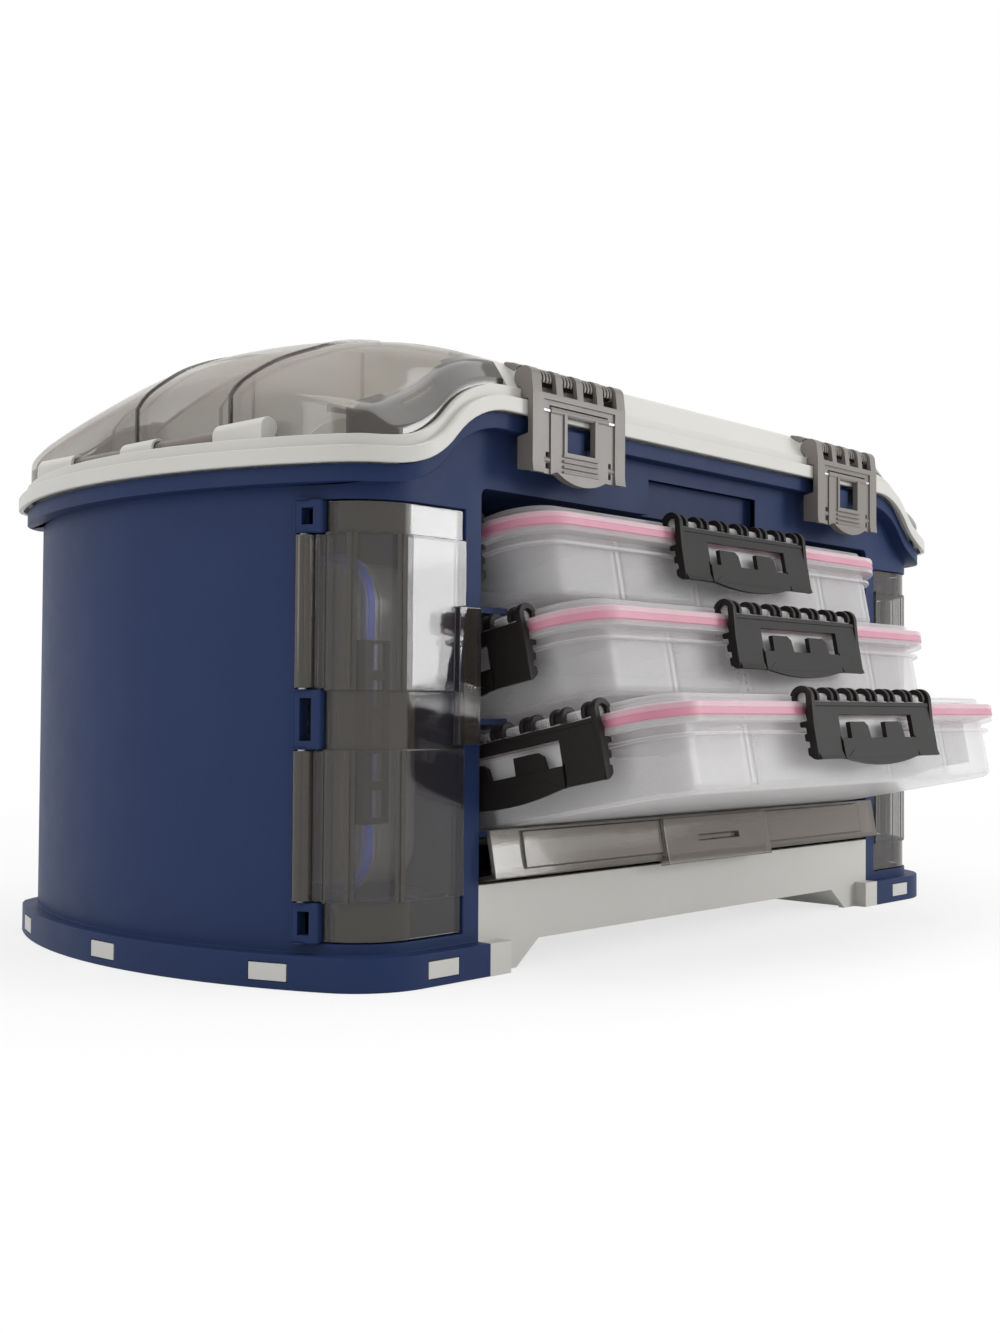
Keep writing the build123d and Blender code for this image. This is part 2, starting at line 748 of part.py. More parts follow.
def tray_latch(plane):
    """Latch: loops round the rod, a plate with a toothed window, a hook and a curved lip."""
    axis = shift_plane(plane, 0, -tray_rod_stand, tray_rod_height)
    side = Plane(origin=axis.origin, x_dir=axis.y_dir, z_dir=axis.x_dir)
    face_in = tray_rod_stand - tray_latch_stand
    plate_out = face_in
    plate_in = face_in + tray_latch_thickness
    low = tray_latch_bottom - tray_rod_height
    bore = tray_rod_radius + fit_gap
    hook_low = tray_side_height - tray_flange_thickness - tray_rod_height - 3.6
    with BuildPart() as latch:
        with BuildSketch(side):
            with BuildLine():
                Polyline(
                    (plate_out, 0),
                    (plate_out, low + 4),
                    (plate_out - tray_latch_lip, low),
                    (plate_in - tray_latch_lip, low),
                    (plate_in, low + 4),
                    (plate_in, hook_low - 2),
                    (tray_rod_stand - 4.2, hook_low),
                    (tray_rod_stand - 4.2, hook_low + 2.6),
                    (plate_in, hook_low + 2.6),
                    (plate_in, 0),
                    close=True,
                )
            make_face()
        extrude(amount=tray_latch_half_width, both=True)
        pitch = (2 * tray_latch_half_width - tray_loop_width) / (tray_loop_count - 1)
        for count in range(tray_loop_count):
            shift = -tray_latch_half_width + tray_loop_width / 2 + count * pitch
            with BuildSketch(side.offset(shift - tray_loop_width / 2)):
                Circle(tray_loop_radius)
                Circle(bore, mode=Mode.SUBTRACT)
                with BuildLine():
                    Polyline((0, 0), (2.5, 12), (12, 12), (12, -12), (-4.5, -12), (-7, -1.2), close=True)
                make_face(mode=Mode.SUBTRACT)
            extrude(amount=tray_loop_width)
        face = shift_plane(plane, 0, -tray_latch_stand - 5, 0)
        with BuildSketch(Plane(origin=face.origin, x_dir=face.x_dir, z_dir=-face.y_dir)):
            with Locations((0, window_center_z)):
                Rectangle(2 * latch_window_half, latch_window_height)
            with Locations((-tooth_x, window_center_z - 3), (tooth_x, window_center_z - 3)):
                Rectangle(tooth_width, latch_window_height - 6, mode=Mode.SUBTRACT)
        extrude(amount=-18, mode=Mode.SUBTRACT)
    return latch.part


inside_half = tray_half_length - tray_draft - tray_wall
row_depth = tray_depth / 2 - tray_draft - tray_wall - partition_thickness / 2
row_pitch = row_depth + partition_thickness
divider_length = row_depth - 2 * fit_gap
divider_height = tray_side_height - tray_wall - divider_drop
gasket_bottom = tray_side_height
lid_bottom = gasket_bottom + gasket_height
latch_places = {
    "front": (0, 0, 0),
    "left": (-tray_half_length, side_latch_center, -90),
    "right": (tray_half_length, side_latch_center, 90),
}
for level, height in tray_heights.items():
    stowed = tray_plane(tray_stow_depth, height)
    base = shift_plane(stowed, 0, -tray_pulled_out[level], 0)

    outer = slab(base, -tray_draft, tray_side_height)
    inner = slab(base.offset(tray_wall), -tray_draft - tray_wall, far)
    with BuildPart() as tray_body:
        add(outer)
        bottom_edges = tray_body.faces().sort_by(Axis((0, 0, 0), base.z_dir))[0].edges()
        fillet(bottom_edges, 5)
        add(slab(base.offset(tray_side_height - tray_flange_thickness), tray_flange, tray_flange_thickness))
        add(inner, mode=Mode.SUBTRACT)
        with BuildSketch(base.offset(tray_wall)):
            with Locations((0, tray_depth / 2)):
                Rectangle(2 * (tray_half_length - tray_draft) - tray_wall, partition_thickness)
        extrude(amount=divider_height)
    tray_body.part.label = f"tray_{level}_body"
    export_step(tray_body.part, f"parts/tray_{level}_body.step")

    with BuildPart() as tray_gasket:
        add(slab(base.offset(gasket_bottom), tray_flange - 1, gasket_height))
        add(slab(base.offset(gasket_bottom), -tray_draft, gasket_height), mode=Mode.SUBTRACT)
    tray_gasket.part.label = f"tray_{level}_gasket"
    export_step(tray_gasket.part, f"parts/tray_{level}_gasket.step")

    rods = [latch_rod(shift_plane(base, x, y, 0, turn)) for x, y, turn in latch_places.values()]
    lid_room = slab(base.offset(lid_bottom), -lid_panel_inset - tray_wall, lid_panel_height - lid_bottom - 2)
    with BuildPart() as tray_lid:
        add(slab(base.offset(lid_bottom), lid_overhang, lid_flange_thickness))
        add(slab(base.offset(lid_bottom), -lid_panel_inset, lid_panel_height - lid_bottom))
        add(lid_room, mode=Mode.SUBTRACT)
        for rod in rods:
            add(rod)
    tray_lid.part.label = f"tray_{level}_lid"
    export_step(tray_lid.part, f"parts/tray_{level}_lid.step")

    with BuildPart() as tray_dividers:
        with BuildSketch(base.offset(tray_wall)):
            with Locations((0, tray_depth / 2)):
                with GridLocations(2 * inside_half / (divider_count + 1), row_pitch, divider_count, 2):
                    Rectangle(divider_thickness, divider_length)
        extrude(amount=divider_height)
    tray_dividers.part.label = f"tray_{level}_dividers"
    export_step(tray_dividers.part, f"parts/tray_{level}_dividers.step")

    for place, (x, y, turn) in latch_places.items():
        latch = tray_latch(shift_plane(base, x, y, 0, turn))
        latch.label = f"tray_{level}_{place}_latch"
        export_step(latch, f"parts/tray_{level}_{place}_latch.step")


# Lid frame: rim, flange, spine, handle pocket and knuckles
def arch_body(inset, half_width):
    """Solid under the arch of the spine, its surface moved in by inset."""
    shoulder = rim_high + spine_shoulder_height - inset
    foot = rim_high + lid_rim_height
    with BuildPart() as arch:
        with BuildSketch(Plane.YZ):
            with BuildLine():
                front = Polyline(
                    (front_y - spine_front_stand + inset, foot - lid_wall),
                    (front_y - spine_front_stand + inset, foot),
                    (front_y + spine_shoulder_depth + inset / 2, shoulder),
                )
                back = Polyline(
                    (back_y - spine_shoulder_depth - inset / 2, shoulder),
                    (back_y + spine_front_stand - inset, foot),
                    (back_y + spine_front_stand - inset, foot - lid_wall),
                )
                ThreePointArc(front @ 1, (middle_y, rim_high + spine_apex_height - inset), back @ 0)
                Line(back @ 1, front @ 0)
            make_face()
        extrude(amount=half_width, both=True)
    return arch.part


lip = plan_ring(lid_stand, lid_stand - lid_wall, lid_gap, lid_lip_height)
lip_top = plan_ring(lid_stand, lid_band_stand - lid_wall, lid_lip_height - lid_wall, lid_lip_height)
band = plan_ring(lid_band_stand, lid_band_stand - lid_wall, lid_lip_height - lid_wall, lid_rim_height)
inner_skirt = plan_ring(lid_wall + 1, 1, lid_gap, lid_rim_height)
flange = plan_ring(lid_band_stand, -lid_inner_ledge, lid_rim_height - lid_wall, lid_rim_height)
spine = arch_body(0, spine_half_width)
spine_room = arch_body(lid_wall, spine_half_width - lid_wall)
pocket_front = front_y + handle_pivot_depth - handle_thickness / 2 - 2 * handle_pocket_gap
pocket_back = front_y + handle_pivot_depth + handle_reach + handle_grip_width / 2 + handle_pocket_gap
pocket_half = handle_half_width + handle_pocket_gap
pocket_depth = pocket_back - pocket_front
pocket_y = (pocket_front + pocket_back) / 2
pivot_y = front_y + handle_pivot_depth
with BuildPart() as pocket_pan:
    with Locations((0, pocket_y, handle_pocket_floor - lid_wall)):
        Box(
            2 * (pocket_half + lid_wall),
            pocket_depth + 2 * lid_wall,
            handle_pocket_room,
            align=(Align.CENTER, Align.CENTER, Align.MIN),
        )
    add(spine, mode=Mode.INTERSECT)

with BuildPart() as lid_frame:
    add(lip)
    add(lip_top)
    add(band)
    add(inner_skirt)
    add(flange)
    add(spine)
    add(spine_room, mode=Mode.SUBTRACT)
    add(pocket_pan.part)
    with Locations((0, pocket_y, handle_pocket_floor)):
        Box(
            2 * pocket_half,
            pocket_depth,
            handle_pocket_room,
            align=(Align.CENTER, Align.CENTER, Align.MIN),
            mode=Mode.SUBTRACT,
        )
    with Locations((0, pivot_y, handle_height)):
        Cylinder(handle_pin_radius, 2 * (pocket_half + lid_wall), rotation=(0, 90, 0), mode=Mode.SUBTRACT)
    for low, high in window_knuckles:
        with BuildSketch(Plane.XZ.offset(-front_y - high)):
            for side in (-1, 1):
                with Locations((side * window_hinge_x, window_hinge_height)):
                    Circle(window_knuckle_radius)
                foot_z = rim_low + lid_rim_height - 1
                with Locations((side * (window_hinge_x + 0.5), (foot_z + window_hinge_height) / 2)):
                    Rectangle(2 * window_knuckle_radius - 1, window_hinge_height - foot_z)
        extrude(amount=high - low)
    rod_low = window_knuckles[0][0] + 6
    rod_high = window_knuckles[-1][1] - 6
    with BuildSketch(Plane.XZ.offset(-front_y - rod_high - fit_gap)):
        with Locations((-window_hinge_x, window_hinge_height), (window_hinge_x, window_hinge_height)):
            Circle(window_rod_radius + fit_gap)
    extrude(amount=rod_high - rod_low + 2 * fit_gap, mode=Mode.SUBTRACT)
    for center in hinge_centers:
        with BuildSketch(Plane.YZ.offset(center - hinge_knuckle_width / 2)):
            with Locations((back_y + hinge_back, hinge_height)):
                Circle(hinge_radius)
            with BuildLine():
                Polyline(
                    (back_y + lid_stand - 1, hinge_height + 1),
                    (back_y + hinge_back, hinge_height - 1),
                    (back_y + hinge_back, hinge_height + hinge_radius),
                    (back_y + lid_band_stand - 1, rim_high + lid_rim_height),
                    close=True,
                )
            make_face()
        extrude(amount=hinge_knuckle_width)
        with Locations((center, back_y + hinge_back, hinge_height)):
            Cylinder(hinge_pin_radius + 0.1, hinge_knuckle_width, rotation=(0, 90, 0), mode=Mode.SUBTRACT)
    rod_y = front_y - latch_axis_stand
    for side in (-1, 1):
        with BuildSketch(Plane.YZ.offset(side * latch_center)):
            with Locations((rod_y, latch_axis_height)):
                Circle(latch_rod_radius)
        extrude(amount=latch_half_width - 1, both=True)
        for shift in latch_rib_shifts:
            with BuildSketch(Plane.YZ.offset(side * latch_center + shift)):
                with BuildLine():
                    Polyline(
                        (rod_y - 1, latch_axis_height - 2),
                        (rod_y - 0.5, latch_axis_height + 2),
                        (front_y + 4, rim_high + spine_shoulder_height),
                        (front_y - 4, rim_high + lid_rim_height + 3),
                        close=True,
                    )
                make_face()
            extrude(amount=latch_rib_width / 2, both=True)
lid_frame.part.label = "lid_frame"
export_step(lid_frame.part, "parts/lid_frame.step")

with BuildPart() as lid_hinge_pins:
    for center in hinge_centers:
        with Locations((center, back_y + hinge_back, hinge_height)):
            Cylinder(
                hinge_pin_radius,
                hinge_knuckle_width + 2 * (hinge_lug_width + fit_gap),
                rotation=(0, 90, 0),
            )
lid_hinge_pins.part.label = "lid_hinge_pins"
export_step(lid_hinge_pins.part, "parts/lid_hinge_pins.step")


# Carry handle
grip_y = pivot_y + handle_reach
with BuildPart() as handle:
    with BuildSketch(Plane.YZ.offset(-handle_half_width)):
        with Locations((pivot_y + handle_reach / 2, handle_height)):
            SlotCenterToCenter(handle_reach, handle_thickness)
    extrude(amount=handle_arm_width)
    with BuildSketch(Plane.YZ.offset(handle_half_width - handle_arm_width)):
        with Locations((pivot_y + handle_reach / 2, handle_height)):
            SlotCenterToCenter(handle_reach, handle_thickness)
    extrude(amount=handle_arm_width)
    with BuildSketch(Plane.YZ.offset(-handle_half_width)):
        with Locations((grip_y, handle_height)):
            RectangleRounded(handle_grip_width, handle_thickness, handle_thickness * 0.4)
    extrude(amount=2 * handle_half_width)
    with Locations((0, pivot_y, handle_height)):
        Cylinder(handle_pin_radius + 0.1, 2 * far, rotation=(0, 90, 0), mode=Mode.SUBTRACT)
handle.part.label = "handle"
export_step(handle.part, "parts/handle.step")

pin_reach = pocket_half + lid_wall - handle_half_width + handle_arm_width
with BuildPart() as handle_pins:
    with Locations(
        (pocket_half + lid_wall - pin_reach / 2, pivot_y, handle_height),
        (-pocket_half - lid_wall + pin_reach / 2, pivot_y, handle_height),
    ):
        Cylinder(handle_pin_radius, pin_reach, rotation=(0, 90, 0))
handle_pins.part.label = "handle_pins"
export_step(handle_pins.part, "parts/handle_pins.step")


# Domed windows
def arch_height(depth):
    """Height of the spine's outer surface at a depth behind the front wall."""
    foot = rim_high + lid_rim_height
    shoulder = rim_high + spine_shoulder_height
    apex = rim_high + spine_apex_height
    if depth < spine_shoulder_depth:
        share = (depth + spine_front_stand) / (spine_shoulder_depth + spine_front_stand)
        return foot + (shoulder - foot) * share
    half_chord = case_depth / 2 - spine_shoulder_depth
    rise = apex - shoulder
    radius = (half_chord**2 + rise**2) / (2 * rise)
    return apex - radius + sqrt(radius**2 - (case_depth / 2 - depth) ** 2)


def dome(inset, start_x):
    """Solid under a window's dome, its surface moved in by inset."""
    foot = rim_high + lid_rim_height
    apex = rim_high + spine_apex_height
    stations = []
    for depth in dome_stations:
        share = (arch_height(depth) - foot) / (apex - foot)
        corner = max(0, dome_corner_length + dome_stations[0] - depth)
        end_x = window_end_x - dome_corner_width * (1 - sqrt(1 - (corner / dome_corner_length) ** 2))
        stations.append((depth + inset, end_x - inset, share))
    stations += [(case_depth - depth, end_x, share) for depth, end_x, share in reversed(stations[:-1])]
    base_z = rim_low - 5
    with BuildPart() as lump:
        for depth, end_x, share in stations:
            crown = []
            for step, drop in dome_crown:
                x = start_x + step * (end_x - start_x)
                low = curve_height(spine_half_width + step * (end_x - spine_half_width)) + lid_rim_height
                crown.append((x, low + (apex - drop - low) * share - inset))
            with BuildSketch(Plane.XZ.offset(-front_y - depth)):
                with BuildLine():
                    Spline(*crown)
                    Polyline(crown[-1], (end_x, base_z), (start_x, base_z), crown[0])
                make_face()
        loft(ruled=True)
    return lump.part


dome_outer = dome(0, spine_half_width + fit_gap)
dome_inner = dome(window_thickness, spine_half_width - 4)
rim_clear = under_curve(lid_rim_height + fit_gap)
with BuildPart() as window_right:
    add(dome_outer)
    add(dome_inner, mode=Mode.SUBTRACT)
    add(rim_clear, mode=Mode.SUBTRACT)
    with BuildSketch(Plane.XZ.offset(-front_y - rod_high)):
        with Locations((window_hinge_x, window_hinge_height)):
            Circle(window_rod_radius)
    extrude(amount=rod_high - rod_low)
    for (_, low), (high, _) in zip(window_knuckles, window_knuckles[1:]):
        web_x = (window_end_x + window_hinge_x) / 2 - 1
        with Locations((web_x, front_y + (low + high) / 2, window_hinge_height)):
            Box(window_hinge_x - window_end_x + 2, high - low - 2, window_rod_radius)
window_right.part.label = "window_right"
export_step(window_right.part, "parts/window_right.step")

with BuildPart() as window_left:
    mirror(window_right.part, about=Plane.YZ)
window_left.part.label = "window_left"
export_step(window_left.part, "parts/window_left.step")


# Bins under the windows
bin_roof = under_curve(lid_rim_height - lid_wall - fit_gap)
bin_plan = plan_face(-lid_inner_ledge - 1)
bin_inside = plan_face(-lid_inner_ledge - 1 - bin_wall)
with BuildPart() as lid_bin_right:
    with BuildSketch(Plane.XY.offset(bin_floor)):
        add(bin_plan)
        with Locations(((bin_inner_x + far) / 2, middle_y)):
            Rectangle(far - bin_inner_x, far, mode=Mode.INTERSECT)
    extrude(amount=cut_depth)
    add(bin_roof, mode=Mode.INTERSECT)
    with BuildSketch(Plane.XY.offset(bin_floor + bin_wall)):
        add(bin_inside)
        with Locations(((bin_inner_x + bin_wall + far) / 2, middle_y)):
            Rectangle(far - bin_inner_x - bin_wall, far, mode=Mode.INTERSECT)
        for depth in bin_dividers:
            with Locations((bin_inner_x, front_y + depth)):
                Rectangle(far, bin_wall, mode=Mode.SUBTRACT)
    extrude(amount=cut_depth, mode=Mode.SUBTRACT)
lid_bin_right.part.label = "lid_bin_right"
export_step(lid_bin_right.part, "parts/lid_bin_right.step")

with BuildPart() as lid_bin_left:
    mirror(lid_bin_right.part, about=Plane.YZ)
lid_bin_left.part.label = "lid_bin_left"
export_step(lid_bin_left.part, "parts/lid_bin_left.step")


# Front latches
latch_face = front_y - latch_stand
latch_inner = latch_face + latch_thickness
latch_tip = (latch_face + latch_lean, latch_axis_height + 1.2)
for side, name in ((1, "right"), (-1, "left")):
    x = side * latch_center
    with BuildPart() as latch_frame:
        with BuildSketch(Plane.YZ.offset(x)):
            with BuildLine():
                Polyline(
                    (latch_face, latch_bottom),
                    (latch_face, latch_brow),
                    latch_tip,
                    (latch_inner + 1, latch_axis_height - 0.5),
                    (latch_inner, latch_brow - 1),
                    (latch_inner, latch_bottom),
                    close=True,
                )
            make_face()
        extrude(amount=latch_half_width, both=True)
        for shift in latch_loops:
            with BuildSketch(Plane.YZ.offset(x + shift)):
                with Locations((rod_y, latch_axis_height)):
                    Circle(latch_loop_radius)
                with BuildLine():
                    Polyline(
                        (latch_face, latch_brow),
                        latch_tip,
                        (rod_y - 1, latch_axis_height + latch_loop_radius - 0.2),
                        (rod_y - 1, latch_axis_height - latch_loop_radius + 0.2),
                        (latch_inner, latch_brow - 1),
                        close=True,
                    )
                make_face()
                with Locations((rod_y, latch_axis_height)):
                    Circle(latch_rod_radius + fit_gap, mode=Mode.SUBTRACT)
                with Locations((rod_y + latch_loop_radius, latch_axis_height - latch_loop_radius)):
                    Rectangle(2 * latch_loop_radius, 2 * latch_loop_radius, mode=Mode.SUBTRACT)
            extrude(amount=latch_loop_width / 2, both=True)
        lever_room = lever_top + lever_gap - lever_bottom
        with Locations((x, latch_face, lever_bottom + lever_room / 2)):
            Box(2 * (lever_half_width + lever_gap), 4 * latch_thickness, lever_room, mode=Mode.SUBTRACT)
        with Locations((x, latch_face + latch_thickness / 2, lever_axis_height)):
            Cylinder(lever_pin_radius, 2 * (lever_half_width + 8), rotation=(0, 90, 0), mode=Mode.SUBTRACT)
    latch_frame.part.label = f"latch_frame_{name}"
    export_step(latch_frame.part, f"parts/latch_frame_{name}.step")

    with BuildPart() as latch_lever:
        with BuildSketch(Plane.YZ.offset(x)):
            with BuildLine():
                Polyline(
                    (latch_face, lever_axis_height),
                    (latch_face, latch_bottom + 3),
                    (latch_face - lever_lip, lever_bottom),
                    (latch_inner - lever_lip, lever_bottom),
                    (latch_inner, latch_bottom + 3),
                    (latch_inner, lever_axis_height),
                    close=True,
                )
            make_face()
            with Locations((latch_face + latch_thickness / 2, lever_axis_height)):
                Circle(latch_thickness / 2)
        extrude(amount=lever_half_width, both=True)
        for z in lever_ribs:
            with Locations((x, latch_face, z)):
                Box(1.5 * lever_half_width, 2, lever_rib_height)
        with Locations((x, latch_face, lever_window_center)):
            Box(lever_window_width, 4 * latch_thickness, lever_window_height, mode=Mode.SUBTRACT)
        with Locations((x, latch_face + latch_thickness / 2, lever_axis_height)):
            Cylinder(lever_pin_radius + 0.1, 2 * far, rotation=(0, 90, 0), mode=Mode.SUBTRACT)
    latch_lever.part.label = f"latch_lever_{name}"
    export_step(latch_lever.part, f"parts/latch_lever_{name}.step")

    with BuildPart() as lever_pin:
        with Locations((x, latch_face + latch_thickness / 2, lever_axis_height)):
            Cylinder(lever_pin_radius, 2 * (lever_half_width + 8), rotation=(0, 90, 0))
    lever_pin.part.label = f"latch_pin_{name}"
    export_step(lever_pin.part, f"parts/latch_pin_{name}.step")
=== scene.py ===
import json
from math import asin, cos, pi, radians, sin, sqrt

import bmesh
import bpy
from mathutils import Matrix, Vector

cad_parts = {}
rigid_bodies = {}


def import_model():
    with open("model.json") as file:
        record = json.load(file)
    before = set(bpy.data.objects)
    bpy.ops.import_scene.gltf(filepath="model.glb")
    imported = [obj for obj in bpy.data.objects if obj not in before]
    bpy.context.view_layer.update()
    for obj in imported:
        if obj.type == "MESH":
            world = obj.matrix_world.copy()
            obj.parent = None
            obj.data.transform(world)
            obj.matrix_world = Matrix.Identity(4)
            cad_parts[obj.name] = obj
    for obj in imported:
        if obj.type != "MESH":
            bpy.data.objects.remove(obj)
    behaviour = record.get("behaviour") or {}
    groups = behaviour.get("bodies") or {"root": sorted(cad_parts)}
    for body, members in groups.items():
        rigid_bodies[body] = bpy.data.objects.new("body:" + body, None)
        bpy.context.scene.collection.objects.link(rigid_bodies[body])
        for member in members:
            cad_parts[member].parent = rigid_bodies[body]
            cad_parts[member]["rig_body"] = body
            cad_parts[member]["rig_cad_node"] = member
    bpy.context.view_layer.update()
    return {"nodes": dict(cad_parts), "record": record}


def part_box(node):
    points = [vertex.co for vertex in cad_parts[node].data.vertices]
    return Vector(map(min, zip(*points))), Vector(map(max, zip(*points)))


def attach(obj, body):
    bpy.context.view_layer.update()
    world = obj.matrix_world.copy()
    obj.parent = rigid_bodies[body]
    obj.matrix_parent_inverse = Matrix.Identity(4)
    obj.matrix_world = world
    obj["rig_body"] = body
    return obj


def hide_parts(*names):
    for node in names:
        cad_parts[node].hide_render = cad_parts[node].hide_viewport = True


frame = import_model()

nodes = frame["nodes"]
scene = bpy.context.scene
bpy.ops.object.select_all(action="DESELECT")
print("frame loaded,", len(nodes), "nodes")

# The case's own shape. Depths are measured back from its front wall, which the deck stands 3.8 mm behind.
case = {
    "depth": 0.300, "endRadius": 0.290, "endCenter": 0.008, "rimHigh": 0.277, "rimLow": 0.243,
    "bendStart": 0.184, "bendEnd": 0.258, "lidRim": 0.014, "lidLip": 0.008, "lipStand": 0.014,
    "bandStand": 0.0095, "collarStand": 0.009, "collarDrop": 0.008, "footStand": 0.0085, "footHigh": 0.016}
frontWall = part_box("top_deck")[0].y - 0.0038
backWall = frontWall + case["depth"]
middle = frontWall + case["depth"] / 2
tilt = radians(11.3)
mirror = Matrix.Scale(-1, 4, (1, 0, 0))
sides = {"right": Matrix.Identity(4), "left": mirror}


# Height of the parting curve between case and lid
def curveHeight(x):
    x = abs(x)
    halfRun = (case["bendEnd"] - case["bendStart"]) / 2
    halfDrop = (case["rimHigh"] - case["rimLow"]) / 2
    radius = (halfRun ** 2 + halfDrop ** 2) / (2 * halfDrop)
    if x <= case["bendStart"]:
        return case["rimHigh"]
    if x <= case["bendStart"] + halfRun:
        return case["rimHigh"] - radius + sqrt(radius ** 2 - (x - case["bendStart"]) ** 2)
    if x <= case["bendEnd"]:
        return case["rimLow"] + radius - sqrt(radius ** 2 - (case["bendEnd"] - x) ** 2)
    return case["rimLow"]


# How far a point stands out from the case's walls
def standOff(point):
    around = Vector((abs(point.x) - case["endCenter"], point.y - middle)).length - case["endRadius"]
    return max(frontWall - point.y, point.y - backWall, around)


# Picking, cutting and rounding, as used on every piece below
def selectOnly(*pieces):
    bpy.ops.object.select_all(action="DESELECT")
    for piece in pieces:
        piece.select_set(True)
    bpy.context.view_layer.objects.active = pieces[0]


def pick(piece, kind, wanted):
    selectOnly(piece)
    bpy.ops.object.mode_set(mode="EDIT")
    bpy.ops.mesh.select_mode(type=kind)
    bpy.ops.mesh.select_all(action="DESELECT")
    mesh = bmesh.from_edit_mesh(piece.data)
    found = 0
    for part in {"VERT": mesh.verts, "EDGE": mesh.edges, "FACE": mesh.faces}[kind]:
        if wanted(part):
            part.select_set(True)
            found += 1
    mesh.select_flush_mode()
    bmesh.update_edit_mesh(piece.data)
    return found


def done():
    bpy.ops.object.mode_set(mode="OBJECT")


def edgeLine(edge):
    return (edge.verts[1].co - edge.verts[0].co).normalized()


def block(name, low, high):
    low, high = Vector(low), Vector(high)
    bpy.ops.object.select_all(action="DESELECT")
    bpy.ops.mesh.primitive_cube_add(size=1, location=(low + high) / 2)
    piece = bpy.context.object
    piece.name = name
    piece.scale = high - low
    bpy.ops.object.transform_apply(location=True, rotation=True, scale=True)
    return piece


def rod(name, start, end, radius, around=24):
    start, end = Vector(start), Vector(end)
    bpy.ops.object.select_all(action="DESELECT")
    turn = Vector((0, 0, 1)).rotation_difference(end - start)
    bpy.ops.mesh.primitive_cylinder_add(
        vertices=around, radius=radius, depth=(end - start).length, location=(start + end) / 2,
        rotation=turn.to_euler())
    piece = bpy.context.object
    piece.name = name
    bpy.ops.object.transform_apply(location=True, rotation=True, scale=True)
    return piece


# An outline drawn across one axis and pulled out along it
def prism(name, outline, along, low, high):
    bpy.ops.object.select_all(action="DESELECT")
    bpy.ops.mesh.primitive_circle_add(vertices=len(outline), fill_type="NGON")
    piece = bpy.context.object
    piece.name = name
    for vertex, (first, second) in zip(piece.data.vertices, outline):
        vertex.co = {"x": (low, first, second), "y": (first, low, second), "z": (first, second, low)}[along]
    reach = high - low
    move = {"x": (reach, 0, 0), "y": (0, reach, 0), "z": (0, 0, reach)}[along]
    pick(piece, "FACE", lambda face: True)
    bpy.ops.mesh.extrude_region_move(TRANSFORM_OT_translate={"value": move})
    bpy.ops.mesh.select_all(action="SELECT")
    bpy.ops.mesh.normals_make_consistent(inside=False)
    done()
    return piece


# Points of an arc, its angles in degrees
def arc(center, radius, start, end, steps):
    turns = [radians(start + (end - start) * step / steps) for step in range(steps + 1)]
    return [(center[0] + radius * cos(turn), center[1] + radius * sin(turn)) for turn in turns]


def useModifier(piece, kind, **settings):
    selectOnly(piece)
    modifier = piece.modifiers.new(kind.lower(), kind)
    for name, value in settings.items():
        setattr(modifier, name, value)
    bpy.ops.object.modifier_apply(modifier=modifier.name)
    return piece


def cut(piece, *cutters):
    for cutter in cutters:
        useModifier(piece, "BOOLEAN", object=cutter, operation="DIFFERENCE", solver="EXACT")
        bpy.data.objects.remove(cutter)
    return piece


def fuse(piece, *others):
    for other in others:
        useModifier(piece, "BOOLEAN", object=other, operation="UNION", solver="EXACT")
        bpy.data.objects.remove(other)
    return piece


def joinAll(piece, *others):
    if others:
        selectOnly(piece, *others)
        bpy.ops.object.join()
    return piece


def roundEdges(piece, width, segments=2, angle=32):
    return useModifier(
        piece, "BEVEL", width=width, segments=segments, limit_method="ANGLE", angle_limit=radians(angle))


def roundPicked(piece, width, segments, wanted, clamp=True):
    if pick(piece, "EDGE", wanted):
        bpy.ops.mesh.bevel(offset=width, segments=segments, affect="EDGES", clamp_overlap=clamp)
    done()


# Corners of triangles that lie the wrong way round in their face, as where a rounding is too wide
def foldedSpots(piece):
    mesh = piece.data
    mesh.calc_loop_triangles()
    spots = set()
    for triangle in mesh.loop_triangles:
        a, b, c = (mesh.vertices[index].co for index in triangle.vertices)
        if (b - a).cross(c - a).dot(mesh.polygons[triangle.polygon_index].normal) < -1e-9:
            spots.update(tuple(round(value, 5) for value in corner) for corner in (a, b, c))
    return spots


# True if one of the spots lies within reach of the edge
def nearEdge(edge, spots, reach):
    start, end = (v.co for v in edge.verts)
    run = end - start
    for spot in spots:
        share = min(max((Vector(spot) - start).dot(run) / max(run.length_squared, 1e-12), 0), 1)
        if (start + run * share - Vector(spot)).length < reach:
            return True
    return False


# Rounds sharp edges at full width, and leaves out those that would fold a face
def roundWide(piece, width, wanted=lambda edge: True):
    plain = piece.data.copy()
    before = foldedSpots(piece)
    leftOut = set()
    attempts = 6
    for attempt in range(attempts):
        roundPicked(piece, width, 2, lambda edge: edge.calc_face_angle(0) > radians(32) and wanted(edge)
                    and not nearEdge(edge, leftOut, width * 2.2), clamp=False)
        folds = foldedSpots(piece) - before
        if not folds or attempt == attempts - 1:
            break
        leftOut |= folds
        piece.data = plain.copy()
    return piece


def copyOf(piece, name, matrix=Matrix.Identity(4)):
    twin = piece.copy()
    twin.data = piece.data.copy()
    twin.name = name
    scene.collection.objects.link(twin)
    twin.data.transform(matrix)
    if matrix.determinant() < 0:
        twin.data.flip_normals()
    return twin


